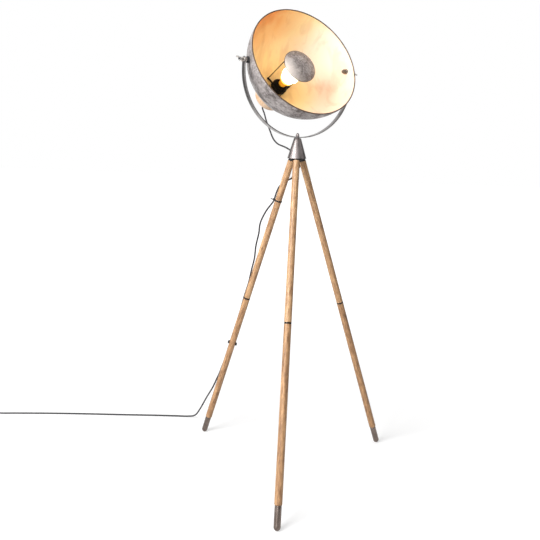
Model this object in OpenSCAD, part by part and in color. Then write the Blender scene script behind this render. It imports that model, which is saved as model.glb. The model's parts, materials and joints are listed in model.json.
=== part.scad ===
// Tripod spotlight floor lamp.
// Origin: the point of the floor under the hub; +Z up; the front leg points to -Y.
// Lengths in millimetres, angles in degrees.

/* [Stand] */
// Height of the hub plane, where the leg axes pass the underside of the cone
hub_h = 1000; // [820:10:1250]
// Radius of the circle through the centres of the rounded foot ends
foot_circle_r = 355.5; // [290:0.5:430]
// Distance of each leg axis from the middle, at the hub plane
leg_top_r = 18.7; // [18.5:0.1:22]
// Diameter of the round wooden legs
leg_d = 22.5; // [20:0.5:23]
// Part of the leg length at which the screwed joint sits
joint_part = 0.494; // [0.4:0.001:0.6]
// Thickness of the dark ring in each leg joint
joint_ring_t = 5; // [2:0.5:6]
// Diameter of the metal foot sleeves
foot_d = 20; // [18.5:0.5:21.5]
// Length of each metal foot sleeve along the leg, rounded end left out
foot_len = 52; // [48:1:80]

/* [Hub] */
// Height of the sheet cone over the leg tops
cone_h = 67; // [58:1:80]
// Radius of the cone at its open base
cone_base_r = 31.5; // [31:0.1:36]
// Radius of the flat top of the cone
cone_top_r = 12; // [11:0.5:15]
// Sheet thickness of the cone
cone_wall = 1.2; // [0.8:0.1:2]
// Shank diameter of the upright bolt the yoke turns on
centre_bolt_d = 6; // [5:0.5:8]
// Thickness of each washer at the foot of the yoke
yoke_washer_t = 1; // [0.8:0.1:2]

/* [Yoke] */
// Width of the flat yoke band
yoke_w = 20; // [18:0.5:24]
// Thickness of the yoke band
yoke_t = 3; // [2:0.5:5]
// Space between the shade rim and the middle of the band
yoke_gap = 11.5; // [11:0.5:16]
// Height of the tilt axis over the centre of the yoke curve
yoke_rise = 28.5; // [20:0.5:45]

/* [Shade] */
// Diameter over the rim bead of the shade
shade_d = 390; // [325:5:468]
// Depth of the shade from the rim plane to its pole
shade_depth = 205; // [180:1:215]
// Sheet thickness of the shade
shade_wall = 1.2; // [0.8:0.1:2]
// How full the shade profile is, two being an ellipse
shade_power = 1.85; // [1.7:0.01:2.1]
// Distance of the rim plane in front of the tilt axis
rim_lead = 38.3; // [30:0.1:50]
// Azimuth the tilt axis is turned to, seen from above
head_yaw = 35.2; // [-180:0.1:180]
// Elevation the shade looks up to
head_tilt = 24; // [-20:0.5:60]

/* [Reflector and bulb] */
// Radius of the small reflector dish in front of the bulb
dish_r = 58.5; // [50:0.5:65]
// Height of the dish dome
dish_dome = 16; // [8:0.5:25]
// Position of the dish rim on the lamp axis, counted from the tilt axis
dish_z = -1; // [-8:0.5:5]
// Diameter of the three wire stays
stay_d = 3; // [2:0.5:4]
// Radius of the circle of the stays
stay_circle_r = 47.7; // [44:0.1:50]
// Diameter of the bulb glass
bulb_d = 60; // [45:1:66]

/* [Rear cap] */
// Radius of the turned wooden cap behind the shade
cap_r = 54; // [45:0.5:58]
// Length of the cap behind the pole of the shade
cap_len = 64; // [52:1:70]
// Rounding of the back edge of the cap
cap_round = 9; // [3:0.5:14]
// Length of the tapered strain relief behind the cap
grip_len = 24; // [20:1:30]

/* [Tilt pivots] */
// Diameter of the threaded tilt studs
stud_d = 8; // [6:0.5:9]
// Distance over the flats of the nuts on the studs
stud_nut_flats = 13.5; // [12:0.5:16]
// Radial play of the studs in the yoke ends
stud_play = 0.06; // [0.02:0.01:0.1]

/* [Cord] */
// Outer diameter of the mains cord
cord_d = 5.5; // [5:0.1:6]
// Outer radius of the coil at the middle of the cord
coil_outer_r = 38.5; // [38:0.5:44]
// Sideways step of the coil for each turn
coil_step = 6; // [6:0.1:7]

/* [Node] */
// Name of the node to draw, or all of them

/* [Hidden] */
$fn = 64;

// Colours of the materials
steel_c = [0.62, 0.62, 0.63];
zinc_c = [0.55, 0.55, 0.54];
dark_c = [0.12, 0.12, 0.13];
wood_c = [0.72, 0.55, 0.38];
nickel_c = [0.7, 0.7, 0.72];
glass_c = [0.98, 0.94, 0.8];
brass_c = [0.8, 0.68, 0.4];
cord_c = [0.2, 0.2, 0.2];

// Small clearances: parts that rest on each other, and nested parts of one body
seat_gap = 0.05;
nest_gap = 0.15;

// Legs
leg_r = leg_d / 2;
foot_r = foot_d / 2;
foot_flat = 0.4;
foot_z = foot_r - foot_flat;
splay = atan((foot_circle_r - leg_top_r) / (hub_h - foot_z));
leg_len = (hub_h - foot_z) / cos(splay);
leg_azimuths = [-90, 150, 30];
leg_start = 8;
collar_t = 2;
joint_u = leg_len * joint_part;
leg_stud_r = 4;
leg_bore_r = 4.08;
tenon_r = foot_r - 1.4;
tenon_len = 44;

// Hub, from the top of the cone downwards
cone_top_z = hub_h + cone_h;
cone_slope = (cone_base_r - cone_top_r) / cone_h;
bolt_r = centre_bolt_d / 2;
block_z = hub_h + 1;
boss_r = leg_r - 1.2;

// Yoke and tilt axis
shade_r = shade_d / 2;
yoke_r = shade_r + yoke_gap;
band_z = cone_top_z + yoke_washer_t;
yoke_centre_z = band_z + yoke_t / 2 + yoke_r;
pivot_h = yoke_centre_z + yoke_rise;

// Shade: radius and depth of the outer skin, and the flat seat at its pole
bead_r = 1.9;
skin_r = shade_r - 0.4;
seat_r = 26;
function skin_depth(r, w) = (shade_depth - w) * pow(1 - pow(r / (skin_r - w), shade_power), 1 / shade_power);
seat_depth = skin_depth(seat_r, 0);
function skin_z(r, w) = rim_lead - min(seat_depth - w, skin_depth(r, w));
pole_z = rim_lead - seat_depth;
function skin_arc(w, n) = [for (i = [0 : n]) let (
    q = 90 * i / n,
    r = (skin_r - w) * pow(cos(q), 2 / shade_power),
    s = (shade_depth - w) * pow(sin(q), 2 / shade_power)
  ) if (r > seat_r) [r, rim_lead - min(s, seat_depth - w)]];
function skin_radius(z, w) = (skin_r - w)
  * pow(1 - pow((rim_lead - z) / (shade_depth - w), shade_power), 1 / shade_power);

// Stays, holder and bulb, along the lamp axis
stay_angles = [131.3, 251.3, 11.3];
plate_z = skin_z(stay_circle_r + 4, shade_wall) + 0.6;
plate_t = 2;
holder_z = plate_z + plate_t;
holder_h = 28;
holder_top = holder_z + holder_h;
bulb_r = bulb_d / 2;
bulb_centre_z = holder_top + 65;
dish_sphere_r = (dish_r * dish_r + dish_dome * dish_dome) / (2 * dish_dome);
function dish_under(r) = dish_z + sqrt(pow(dish_sphere_r - 1, 2) - r * r) - (dish_sphere_r - dish_dome);

// Rear cap, tube and strain relief
cap_back_z = pole_z - cap_len;
cap_wall = 9;
tube_r = 5;
grip_end_z = cap_back_z - grip_len;

// Tilt pivots: distances from the middle along the tilt axis
stud_r = stud_d / 2;
wall_x = skin_radius(0, 0);
pad_out_x = wall_x + 7;
pad_r = 10.5;
pad_in_x = wall_x - shade_wall - 3.4;
nut_t = 7;
washer_t = 1.4;
band_in_x = yoke_r - yoke_t / 2;
band_out_x = yoke_r + yoke_t / 2;
wing_x = band_out_x + washer_t + 0.2;

// Cord: radius, and the places of the switch, the coil and the plug on the floor
cord_r = cord_d / 2;
floor_dir = 185.4;
switch_pos = [-1162, 207];
switch_l = 74;
switch_w = 34;
gland_z = 8;
coil_in = 40;
coil_turns = 5.5;
coil_rise = cord_d + 0.5;
plug_z = 7;
plug_lead = 34;
pin_r = 2;
pin_shank_r = 1.4;
pin_len = 18;
pin_half_pitch = 9.3;

function rot_z(p, a) = [p[0] * cos(a) - p[1] * sin(a), p[0] * sin(a) + p[1] * cos(a), p[2]];
function unit(v) = v / norm(v);

// Point beside a leg: distance down the leg, sideways and outwards from its axis
function leg_point(az, u, s, n) = rot_z([
  leg_top_r + u * sin(splay) + n * cos(splay), s, hub_h - u * cos(splay) + n * sin(splay)], az);

// Point in the frame of the head, where Z is the lamp axis and X the tilt axis
function head_point(x, y, z) = rot_z([
  x, y * sin(head_tilt) - z * cos(head_tilt), y * cos(head_tilt) + z * sin(head_tilt) + pivot_h],
  head_yaw);

// Smooth curve through points; the number of steps is given for each span
function spline_point(p, i, t) = let (
    a = p[max(i - 1, 0)], b = p[i], c = p[i + 1], d = p[min(i + 2, len(p) - 1)]
  ) 0.5 * (2 * b + (c - a) * t + (2 * a - 5 * b + 4 * c - d) * t * t + (3 * b - a - 3 * c + d) * t * t * t);
function spline(p, steps) = [
  for (i = [0 : len(p) - 2]) for (j = [0 : steps[i] - 1]) spline_point(p, i, j / steps[i]),
  p[len(p) - 1]];

// Tangents of a path, with the first and last one given, and a side vector carried along it
function tangents(p, from, to) = [for (i = [0 : len(p) - 1])
  i == 0 ? unit(from) : i == len(p) - 1 ? unit(to) : unit(p[i + 1] - p[i - 1])];
function square_to(v, t) = unit(v - (v * t) * t);
function side_vectors(t, first) = [
  for (i = 0, v = square_to(first, t[0]); i < len(t);
       i = i + 1, v = i < len(t) ? square_to(v, t[i]) : v) v];

module tube(p, r, sides, first, from, to) {
  n = len(p);
  t = tangents(p, from, to);
  v = side_vectors(t, first);
  points = [for (i = [0 : n - 1]) for (k = [0 : sides - 1]) let (a = 360 * k / sides)
    p[i] + r * (cos(a) * v[i] + sin(a) * cross(t[i], v[i]))];
  walls = [for (i = [0 : n - 2]) for (k = [0 : sides - 1]) let (
      a = i * sides + k, b = i * sides + (k + 1) % sides, c = a + sides, d = b + sides
    ) each [[a, d, b], [a, c, d]]];
  ends = [[for (k = [0 : sides - 1]) k], [for (k = [sides - 1 : -1 : 0]) (n - 1) * sides + k]];
  polyhedron(points, concat(walls, ends), convexity = 6);
}

// Cord from the strain relief to the seam behind the yoke, then on to the tie
cord_start = head_point(0, 0, grip_end_z);
cord_start_2 = head_point(0, 0, grip_end_z - 9);
head_seam = [-101, 132, hub_h + 84];
head_route = [
  cord_start, cord_start_2, [-142, 202, pivot_h - 126], [-134, 200, pivot_h - 148],
  [-125, 182, pivot_h - 172], [-113, 155, pivot_h - 196], head_seam];
// Directions of the cord at its two seams
head_seam_dir = [11, -20, -21];
tie_seam_dir = leg_point(150, 161, 7.5, 13.6) - leg_point(150, 147, 7, 12.9);
hub_route = [
  head_seam + seat_gap * unit(head_seam_dir), [-90, 114, hub_h + 64], [-72, 95, hub_h + 47],
  [-46, 76, hub_h + 37], [-27, 66, hub_h + 27], [-1, 59, hub_h + 8], [9, 56, hub_h - 9],
  [8.5, 53, hub_h - 25], [-1, 50, hub_h - 43], [-16, 47, hub_h - 66], [-32, 44, hub_h - 76],
  leg_point(150, 103, -5, 14.5), leg_point(150, 124, 3, 15), leg_point(150, 147, 7, 12.9)];
// Cord from the tie down the left leg, over the floor to the switch
leg_route = [
  leg_point(150, 147, 7, 12.9), leg_point(150, 161, 7.5, 13.6), leg_point(150, 200, 15, 24.5),
  leg_point(150, 245, 18, 30), leg_point(150, 282, 15, 25), leg_point(150, 327, 13, 22),
  leg_point(150, 372, 7.5, 16), leg_point(150, 418, 4, 14.8), leg_point(150, 466, -2.5, 14.4),
  leg_point(150, 515, -3, 14.6), leg_point(150, 560, -5, 13.7), leg_point(150, 625, -10, 10.4),
  leg_point(150, 693, -12.6, 7), leg_point(150, 745, -9.2, 11.6), leg_point(150, 790, -5, 14),
  leg_point(150, 826, -3, 14.9), leg_point(150, 856, -6, 20.5), [-285, 178, 159],
  [-314, 216, 104], [-340, 247, 52], [-363, 268, 16], [-392, 280, 4],
  [-440, 279, cord_r], [-520, 273, cord_r], [-650, 261, cord_r], [-780, 250, cord_r],
  [-910, 237, cord_r], [-1030, 222, cord_r], [-1092, 214, cord_r],
  floor_point(-switch_l / 2 - 15, gland_z - 1), floor_point(-switch_l / 2, gland_z)];
leg_steps = [1, 2, 3, 2, 2, 2, 2, 2, 2, 2, 3, 3, 2, 2, 2, 2, 2, 2, 2, 2, 2, 2, 2, 2, 2, 2, 2, 2, 2, 1];
function floor_point(x, z) = [
  switch_pos[0] + x * cos(floor_dir), switch_pos[1] + x * sin(floor_dir), z];

// Coil: in along the floor, inwards on the lower layer, outwards on the upper one
coil_start = floor_point(switch_l / 2 + coil_in, cord_r);
coil_mid = [coil_start[0], coil_start[1], 0]
  + coil_outer_r * [cos(floor_dir - 90), sin(floor_dir - 90), 0];
turn_back = coil_turns / 2;
function coil_radius(t) = coil_outer_r - coil_step * (t < turn_back ? t : coil_turns - t);
function coil_z(t) = cord_r + coil_rise * min(1, max(0, (t - turn_back + 0.25) / 0.5));
function coil_point(t) = let (a = floor_dir + 90 - 360 * t)
  coil_mid + [coil_radius(t) * cos(a), coil_radius(t) * sin(a), coil_z(t)];
coil_rings = 24;
coil_end = coil_point(coil_turns);
function from_coil(x, z) = [
  coil_end[0] - x * cos(floor_dir), coil_end[1] - x * sin(floor_dir), z];
coil_path = [
  floor_point(switch_l / 2, gland_z), floor_point(switch_l / 2 + cord_d, gland_z),
  floor_point(switch_l / 2 + 14, gland_z - 1.4), floor_point(switch_l / 2 + 24, cord_r + 1.4),
  floor_point(switch_l / 2 + 33, cord_r),
  for (i = [0 : coil_turns * coil_rings]) coil_point(i / coil_rings),
  from_coil(8, coil_end[2]), from_coil(18, (coil_end[2] + plug_z) / 2), from_coil(28, plug_z),
  from_coil(plug_lead, plug_z)];
coil_gap = min([for (i = [0 : len(coil_path) - 1]) for (j = [i + 12 : 1 : len(coil_path) - 1])
  norm(coil_path[i] - coil_path[j])]) - cord_d;
echo(coil_gap = coil_gap);

// Frames the sub-parts are drawn in
module on_leg(az) {
  rotate([0, 0, az]) translate([leg_top_r, 0, hub_h]) rotate([0, -splay, 0]) children();
}
module on_legs() {
  for (az = leg_azimuths) on_leg(az) children();
}
module in_head() {
  translate([0, 0, pivot_h]) rotate([0, 0, head_yaw]) rotate([90 - head_tilt, 0, 0]) children();
}
module on_pivots() {
  for (side = [-1, 1]) in_head() scale([side, 1, 1]) rotate([0, 90, 0]) children();
}
module on_switch() {
  translate([switch_pos[0], switch_pos[1], 0]) rotate([0, 0, floor_dir]) children();
}
module on_plug() {
  translate([coil_end[0], coil_end[1], plug_z]) rotate([0, 0, floor_dir + 180])
    translate([plug_lead, 0, 0]) children();
}

// Ring and hexagonal nut with a bore, standing on the plane z = 0
module ring(r, bore, h) {
  difference() {
    cylinder(r = r, h = h);
    translate([0, 0, -1]) cylinder(r = bore, h = h + 2);
  }
}
module hex_nut(flats, bore, h) {
  difference() {
    cylinder(r = flats / sqrt(3), h = h, $fn = 6);
    translate([0, 0, -1]) cylinder(r = bore, h = h + 2, $fn = 64);
  }
}

// --- Hub ---
module hub_cone() {
  color(steel_c) difference() {
    rotate_extrude() polygon([
      [bolt_r + 0.3, cone_top_z], [cone_top_r - 1, cone_top_z], [cone_top_r, cone_top_z - 1],
      [cone_base_r, hub_h], [cone_base_r - cone_wall, hub_h],
      [cone_top_r - cone_wall + cone_slope * cone_wall, cone_top_z - cone_wall],
      [bolt_r + 0.3, cone_top_z - cone_wall]]);
    // small grub screw hole in the side of the cone
    rotate([0, 0, 60]) translate([0, 0, hub_h + 12]) rotate([0, 90, 0]) cylinder(r = 1.6, h = 60);
  }
}
module block_envelope() {
  in_r = cone_base_r - cone_wall - nest_gap;
  top_r = in_r - cone_slope * (cone_h - cone_wall);
  union() {
    translate([0, 0, hub_h]) cylinder(r1 = in_r, r2 = top_r, h = cone_h - cone_wall - seat_gap);
    translate([0, 0, hub_h - 20]) cylinder(r = in_r, h = 20);
  }
}
module hub_block() {
  color(dark_c) difference() {
    intersection() {
      union() {
        translate([0, 0, block_z]) cylinder(r = cone_base_r, h = cone_h);
        on_legs() translate([0, 0, -leg_start + collar_t]) cylinder(r = boss_r, h = 24);
      }
      block_envelope();
    }
    translate([0, 0, hub_h - 30]) cylinder(r = bolt_r + 0.1, h = cone_h + 40);
    on_legs() translate([0, 0, -20]) cylinder(r = leg_bore_r, h = 36);
  }
}
module centre_bolt() {
  color(steel_c) translate([0, 0, hub_h - 9]) cylinder(r = bolt_r, h = cone_h + 9 + 14);
}
module yoke_washers() {
  color(nickel_c) {
    translate([0, 0, cone_top_z + seat_gap]) ring(7, bolt_r + 0.1, yoke_washer_t - 2 * seat_gap);
    translate([0, 0, band_z + yoke_t + 0.2]) ring(7, bolt_r + 0.1, yoke_washer_t);
  }
}
module dome_nut() {
  color(nickel_c) translate([0, 0, band_z + yoke_t + 0.2 + yoke_washer_t + seat_gap]) difference() {
    union() {
      cylinder(r = 10 / sqrt(3), h = 5.5, $fn = 6);
      translate([0, 0, 5.4]) cylinder(r1 = 4.9, r2 = 4.75, h = 1.5);
      intersection() {
        translate([0, 0, 6.6]) sphere(r = 4.8);
        translate([0, 0, 6.85]) cylinder(r = 6, h = 8);
      }
    }
    translate([0, 0, -1]) cylinder(r = bolt_r + 0.05, h = 10.1);
  }
}
module hub_lock_nut() {
  color(steel_c) translate([0, 0, block_z - 6.5 - seat_gap]) hex_nut(10, bolt_r + 0.05, 6.5);
}

// --- Legs ---
module leg_studs() {
  color(steel_c) on_legs() translate([0, 0, -leg_start - 40]) cylinder(r = leg_stud_r, h = 54);
}
module leg_collars() {
  color(dark_c) on_legs() translate([0, 0, -leg_start + seat_gap])
    ring(leg_r - 0.2, leg_bore_r, collar_t - 2 * seat_gap);
}
module upper_leg(az) {
  low = -joint_u + joint_ring_t / 2 + seat_gap;
  color(wood_c) on_leg(az) rotate_extrude() polygon([
    [leg_bore_r, -leg_start], [leg_r - 0.8, -leg_start], [leg_r, -leg_start - 0.8],
    [leg_r, low + 0.5], [leg_r - 0.5, low], [leg_bore_r, low],
    [leg_bore_r, low + 32], [0, low + 34], [0, -leg_start - 44], [leg_bore_r, -leg_start - 42]]);
}
module leg_joint_rings() {
  color(dark_c) on_legs() translate([0, 0, -joint_u - joint_ring_t / 2])
    ring(leg_r + 0.2, leg_bore_r, joint_ring_t);
}
module leg_joint_studs() {
  color(steel_c) on_legs() translate([0, 0, -joint_u - 30]) cylinder(r = leg_stud_r, h = 60);
}
module lower_leg(az) {
  top = -joint_u - joint_ring_t / 2 - seat_gap;
  shoulder = -leg_len + foot_len + seat_gap;
  color(wood_c) on_leg(az) rotate_extrude() polygon([
    [leg_bore_r, top], [leg_r - 0.5, top], [leg_r, top - 0.5], [leg_r, shoulder + 1.6],
    [foot_r + 0.1, shoulder], [tenon_r, shoulder], [tenon_r, shoulder - tenon_len + 1], [tenon_r - 1, shoulder - tenon_len],
    [0, shoulder - tenon_len], [0, top - 34], [leg_bore_r, top - 32]]);
}
module foot(az) {
  color(nickel_c) difference() {
    on_leg(az) difference() {
      union() {
        translate([0, 0, -leg_len]) cylinder(r = foot_r, h = foot_len);
        translate([0, 0, -leg_len]) sphere(r = foot_r);
      }
      translate([0, 0, -leg_len + foot_len - tenon_len - 0.5])
        cylinder(r = tenon_r + 0.1, h = tenon_len + 2);
    }
    translate([-600, -600, -60]) cube([1200, 1200, 60]);
  }
}

// --- Cord fixings on the left leg ---
module cable_tie() {
  color(dark_c) on_leg(150) translate([0, 0, -155]) difference() {
    union() {
      cylinder(r = leg_r + 1.4, h = 5);
      translate([13.2, 7.3, 0]) cylinder(r = cord_r + 1.7, h = 5);
      // free end of the strap
      rotate([0, 0, 36]) translate([16, -0.7, 1]) cube([11, 1.4, 3]);
    }
    translate([0, 0, -1]) cylinder(r = leg_r + 0.1, h = 7);
    translate([13.2, 7.3, -1]) cylinder(r = cord_r + 0.5, h = 7);
  }
}
module cable_clip() {
  color(dark_c) on_leg(150) translate([0, 0, -697]) rotate([0, 0, -60.9]) difference() {
    union() {
      difference() {
        union() {
          cylinder(r = leg_r + 2, h = 8);
          translate([14.2, 0, 0]) cylinder(r = cord_r + 2, h = 8);
        }
        // the clip is open at the front of the leg
        translate([-30, -30, -1]) cube([28, 60, 10]);
      }
      // thick rounded ends of the clip
      for (side = [-1, 1]) translate([-2.4, side * (leg_r + 2), 0]) cylinder(r = 3.4, h = 8);
    }
    translate([0, 0, -1]) cylinder(r = leg_r + 0.1, h = 10);
    // the cord's own hole runs into the leg's
    translate([14.2, 0, -1]) cylinder(r = cord_r + 0.6, h = 10);
  }
}

// --- Yoke ---
module yoke() {
  color(steel_c) rotate([0, 0, head_yaw]) difference() {
    union() {
      translate([0, 0, yoke_centre_z]) rotate([-90, 0, 0]) rotate_extrude(angle = 180, $fn = 128)
        translate([yoke_r - yoke_t / 2, -yoke_w / 2]) square([yoke_t, yoke_w]);
      for (side = [-1, 1]) translate([side * yoke_r - yoke_t / 2, 0, 0]) {
        translate([0, -yoke_w / 2, yoke_centre_z]) cube([yoke_t, yoke_w, yoke_rise]);
        translate([0, 0, pivot_h]) rotate([0, 90, 0]) cylinder(r = yoke_w / 2, h = yoke_t);
      }
    }
    translate([0, 0, band_z - 5]) cylinder(r = bolt_r + 0.08, h = 20);
    translate([-yoke_r - 10, 0, pivot_h]) rotate([0, 90, 0])
      cylinder(r = stud_r + stud_play, h = 2 * yoke_r + 20);
  }
}

// --- Head ---
module shade_core(w) {
  // solid inside the outer skin moved inwards by w
  rotate_extrude() polygon(concat([[0, rim_lead]], skin_arc(w, 30),
    [[seat_r, rim_lead - seat_depth + w], [0, rim_lead - seat_depth + w]]));
}
module shade() {
  outer = skin_arc(0, 30);
  inner = skin_arc(shade_wall, 30);
  color(zinc_c) in_head() difference() {
    union() {
      rotate_extrude($fn = 96) polygon(concat(outer,
        [[seat_r, pole_z], [5.3, pole_z], [5.3, pole_z + shade_wall], [seat_r, pole_z + shade_wall]],
        [for (i = [len(inner) - 1 : -1 : 0]) inner[i]]));
      // rolled bead round the rim
      rotate_extrude($fn = 96) translate([shade_r - bead_r, rim_lead - bead_r + 0.4])
        circle(r = bead_r, $fn = 24);
    }
    translate([-shade_r, 0, 0]) rotate([0, 90, 0]) cylinder(r = stud_r + 0.1, h = shade_d);
  }
}
module rear_cap() {
  inner_r = cap_r - cap_wall;
  rim_r = [for (i = [0 : 4]) inner_r + (cap_r - inner_r) * i / 4];
  color(wood_c) in_head() rotate_extrude($fn = 96) polygon(concat(
    [for (r = rim_r) [r, skin_z(r, 0) - nest_gap]],
    [for (i = [0 : 6]) let (q = 90 * i / 6)
      [cap_r - cap_round + cap_round * cos(q), cap_back_z + cap_round - cap_round * sin(q)]],
    [[tube_r + 0.2, cap_back_z], [tube_r + 0.2, cap_back_z + cap_wall],
     [inner_r - 4, cap_back_z + cap_wall], [inner_r, cap_back_z + cap_wall + 4]]));
}
module threaded_tube() {
  color(nickel_c) in_head() translate([0, 0, cap_back_z - 10]) ring(tube_r, 3.6, holder_z + 8 - cap_back_z + 10);
}
module tube_nuts() {
  color(nickel_c) in_head() {
    // nut behind the pole, and the collar between the pole and the stay plate
    translate([0, 0, pole_z - 6 - seat_gap]) hex_nut(17, tube_r + 0.1, 6);
    translate([0, 0, pole_z + shade_wall + seat_gap])
      ring(15, tube_r + 0.1, plate_z - pole_z - shade_wall - 2 * seat_gap);
  }
}
module cord_grip() {
  color(dark_c) in_head() rotate_extrude() polygon([
    [tube_r + 0.1, cap_back_z - seat_gap], [10, cap_back_z - seat_gap], [10, cap_back_z - 7],
    [8.4, cap_back_z - 9], [cord_r + 1.3, grip_end_z], [cord_r + 0.2, grip_end_z],
    [cord_r + 0.2, cap_back_z - 11], [tube_r + 0.1, cap_back_z - 11]]);
}
module stay_plate() {
  color(dark_c) in_head() translate([0, 0, plate_z]) difference() {
    union() {
      cylinder(r = 22, h = plate_t);
      for (a = stay_angles) rotate([0, 0, a]) {
        translate([0, -3.5, 0]) cube([stay_circle_r, 7, plate_t]);
        translate([stay_circle_r, 0, 0]) cylinder(r = 4, h = plate_t);
      }
    }
    translate([0, 0, -1]) cylinder(r = tube_r + 0.1, h = plate_t + 2);
    for (a = stay_angles) rotate([0, 0, a]) translate([stay_circle_r, 0, -1])
      cylinder(r = stay_d / 2 + 0.05, h = plate_t + 2);
  }
}
module stay_rods() {
  color(dark_c) in_head() for (a = stay_angles) rotate([0, 0, a]) translate([stay_circle_r, 0, plate_z])
    cylinder(r = stay_d / 2, h = dish_under(stay_circle_r + stay_d / 2) - plate_z - 0.1);
}
module reflector_dish() {
  n = 10;
  edge = asin(dish_r / dish_sphere_r);
  inner_edge = asin(dish_r / (dish_sphere_r - 1));
  base = dish_z - (dish_sphere_r - dish_dome);
  color(zinc_c) in_head() rotate_extrude($fn = 96) polygon(concat(
    [for (i = [0 : n]) let (q = edge * i / n)
      [dish_sphere_r * sin(q), base + dish_sphere_r * cos(q)]],
    [for (i = [n : -1 : 0]) let (q = inner_edge * i / n)
      [(dish_sphere_r - 1) * sin(q), base + (dish_sphere_r - 1) * cos(q)]]));
}
module lamp_holder() {
  color(dark_c) in_head() difference() {
    union() {
      translate([0, 0, holder_z + seat_gap]) cylinder(r = 28, h = 15);
      translate([0, 0, holder_z + 15]) cylinder(r1 = 28, r2 = 24, h = 4);
      translate([0, 0, holder_z + 18]) cylinder(r = 21, h = holder_h - 18);
    }
    translate([0, 0, holder_z + 3]) cylinder(r = 13.6, h = holder_h);
    translate([0, 0, holder_z - 1]) cylinder(r = tube_r + 0.1, h = 8);
  }
}
module bulb_base() {
  color(brass_c) in_head() rotate_extrude() polygon([
    [0, holder_z + 9], [5, holder_z + 9], [9, holder_z + 11.5], [13.2, holder_z + 12.5],
    [13.2, holder_top + 4], [12.6, holder_top + 4], [12.6, holder_z + 13.3], [0, holder_z + 13.3]]);
}
module bulb_glass() {
  z0 = holder_top + 4 + seat_gap;
  function shell(w) = [
    [13.2 - w, z0], [13.6 - w, z0 + 5], [15.6 - w, z0 + 14], [20 - w, z0 + 26],
    for (i = [0 : 14]) let (q = -34 + 124 * i / 14)
      [(bulb_r - w) * cos(q), bulb_centre_z + (bulb_r - w) * sin(q)]];
  outer = shell(0);
  inner = shell(0.9);
  color(glass_c) in_head() rotate_extrude() polygon(concat(
    [for (p = outer) [max(0, p[0]), p[1]]],
    [for (i = [len(inner) - 1 : -1 : 0]) [max(0, inner[i][0]), inner[i][1]]]));
}

// --- Tilt pivots ---
module pivot_studs() {
  color(steel_c) on_pivots() translate([0, 0, pad_in_x - washer_t - nut_t - 2.5])
    cylinder(r = stud_r, h = wing_x + 15 - (pad_in_x - washer_t - nut_t - 2.5));
}
module pivot_nuts() {
  color(dark_c) on_pivots() {
    // closed nut inside the shade
    translate([0, 0, pad_in_x - washer_t]) scale([1, 1, -1]) difference() {
      union() {
        cylinder(r = stud_nut_flats / sqrt(3), h = nut_t, $fn = 6);
        intersection() {
          translate([0, 0, nut_t - 0.3]) sphere(r = stud_nut_flats / 2 - 0.5);
          translate([0, 0, nut_t - 0.1]) cylinder(r = 9, h = 9);
        }
      }
      translate([0, 0, -1]) cylinder(r = stud_r + 0.05, h = nut_t + 3.8);
    }
    translate([0, 0, pad_out_x + seat_gap])
      hex_nut(stud_nut_flats, stud_r + 0.05, band_in_x - 0.3 - washer_t - pad_out_x - 2 * seat_gap);
  }
}
module pivot_washers() {
  color(nickel_c) on_pivots() {
    translate([0, 0, pad_in_x - washer_t + seat_gap]) ring(9.5, stud_r + 0.1, washer_t - 2 * seat_gap);
    translate([0, 0, band_in_x - 0.3 - washer_t]) ring(8.5, stud_r + 0.1, washer_t);
    translate([0, 0, band_out_x + 0.15]) ring(8.5, stud_r + 0.1, washer_t - 0.1);
  }
}
module pivot_pads() {
  // pads that follow the curved wall on both of its sides
  color(dark_c) in_head() for (side = [-1, 1]) difference() {
    scale([side, 1, 1]) union() {
      difference() {
        translate([wall_x - 8, 0, 0]) rotate([0, 90, 0]) cylinder(r = pad_r, h = pad_out_x - wall_x + 8);
        shade_core(-seat_gap);
      }
      intersection() {
        translate([pad_in_x, 0, 0]) rotate([0, 90, 0]) cylinder(r = 9, h = 12);
        shade_core(shade_wall + seat_gap);
      }
    }
    translate([-300, 0, 0]) rotate([0, 90, 0]) cylinder(r = stud_r + 0.05, h = 600);
  }
}
module wing_nut(side) {
  color(nickel_c) in_head() scale([side, 1, 1]) rotate([0, 90, 0]) translate([0, 0, wing_x]) difference() {
    union() {
      cylinder(r1 = 7.4, r2 = 5.8, h = 11);
      for (k = [-1, 1]) rotate([0, 0, 55]) {
        translate([k * 13.6, 1.2, 12]) rotate([90, 0, 0]) cylinder(r = 6.6, h = 2.4);
        translate([k * 8 - 5, -1.2, 3]) cube([10, 2.4, 8.4]);
      }
    }
    translate([0, 0, -1]) cylinder(r = stud_r + 0.05, h = 30);
  }
}
module wing_nut_left() {
  wing_nut(-1);
}
module wing_nut_right() {
  wing_nut(1);
}

// --- Cord, switch and plug ---
module cord_head_stretch() {
  color(cord_c) tube(spline(head_route, [1, 3, 2, 2, 2, 2]), cord_r, 8, [1, 0, 0],
    cord_start_2 - cord_start, head_seam_dir);
}
module cord_hub_stretch() {
  color(cord_c) tube(spline(hub_route, [2, 2, 2, 2, 2, 2, 2, 1, 2, 1, 2, 1, 1]), cord_r, 8, [1, 0, 0],
    head_seam_dir, tie_seam_dir);
}
module cord_leg_stretch() {
  color(cord_c) tube(spline(leg_route, leg_steps), cord_r, 8, [0, 1, 0],
    tie_seam_dir, floor_point(1, 0) - floor_point(0, 0));
}
module cord_coil() {
  color(cord_c) tube(coil_path, cord_r, 6, [0, 0, 1],
    floor_point(1, 0) - floor_point(0, 0), from_coil(1, 0) - from_coil(0, 0));
}
module stadium(l, w, h) {
  translate([-(l - w) / 2, -w / 2, 0]) cube([l - w, w, h]);
  for (side = [-1, 1]) translate([side * (l - w) / 2, 0, 0]) cylinder(r = w / 2, h = h);
}
module gland_bores() {
  for (side = [-1, 1]) scale([side, 1, 1]) translate([10, 0, gland_z]) rotate([0, 90, 0])
    cylinder(r = cord_r - 0.4, h = 40);
}
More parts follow.
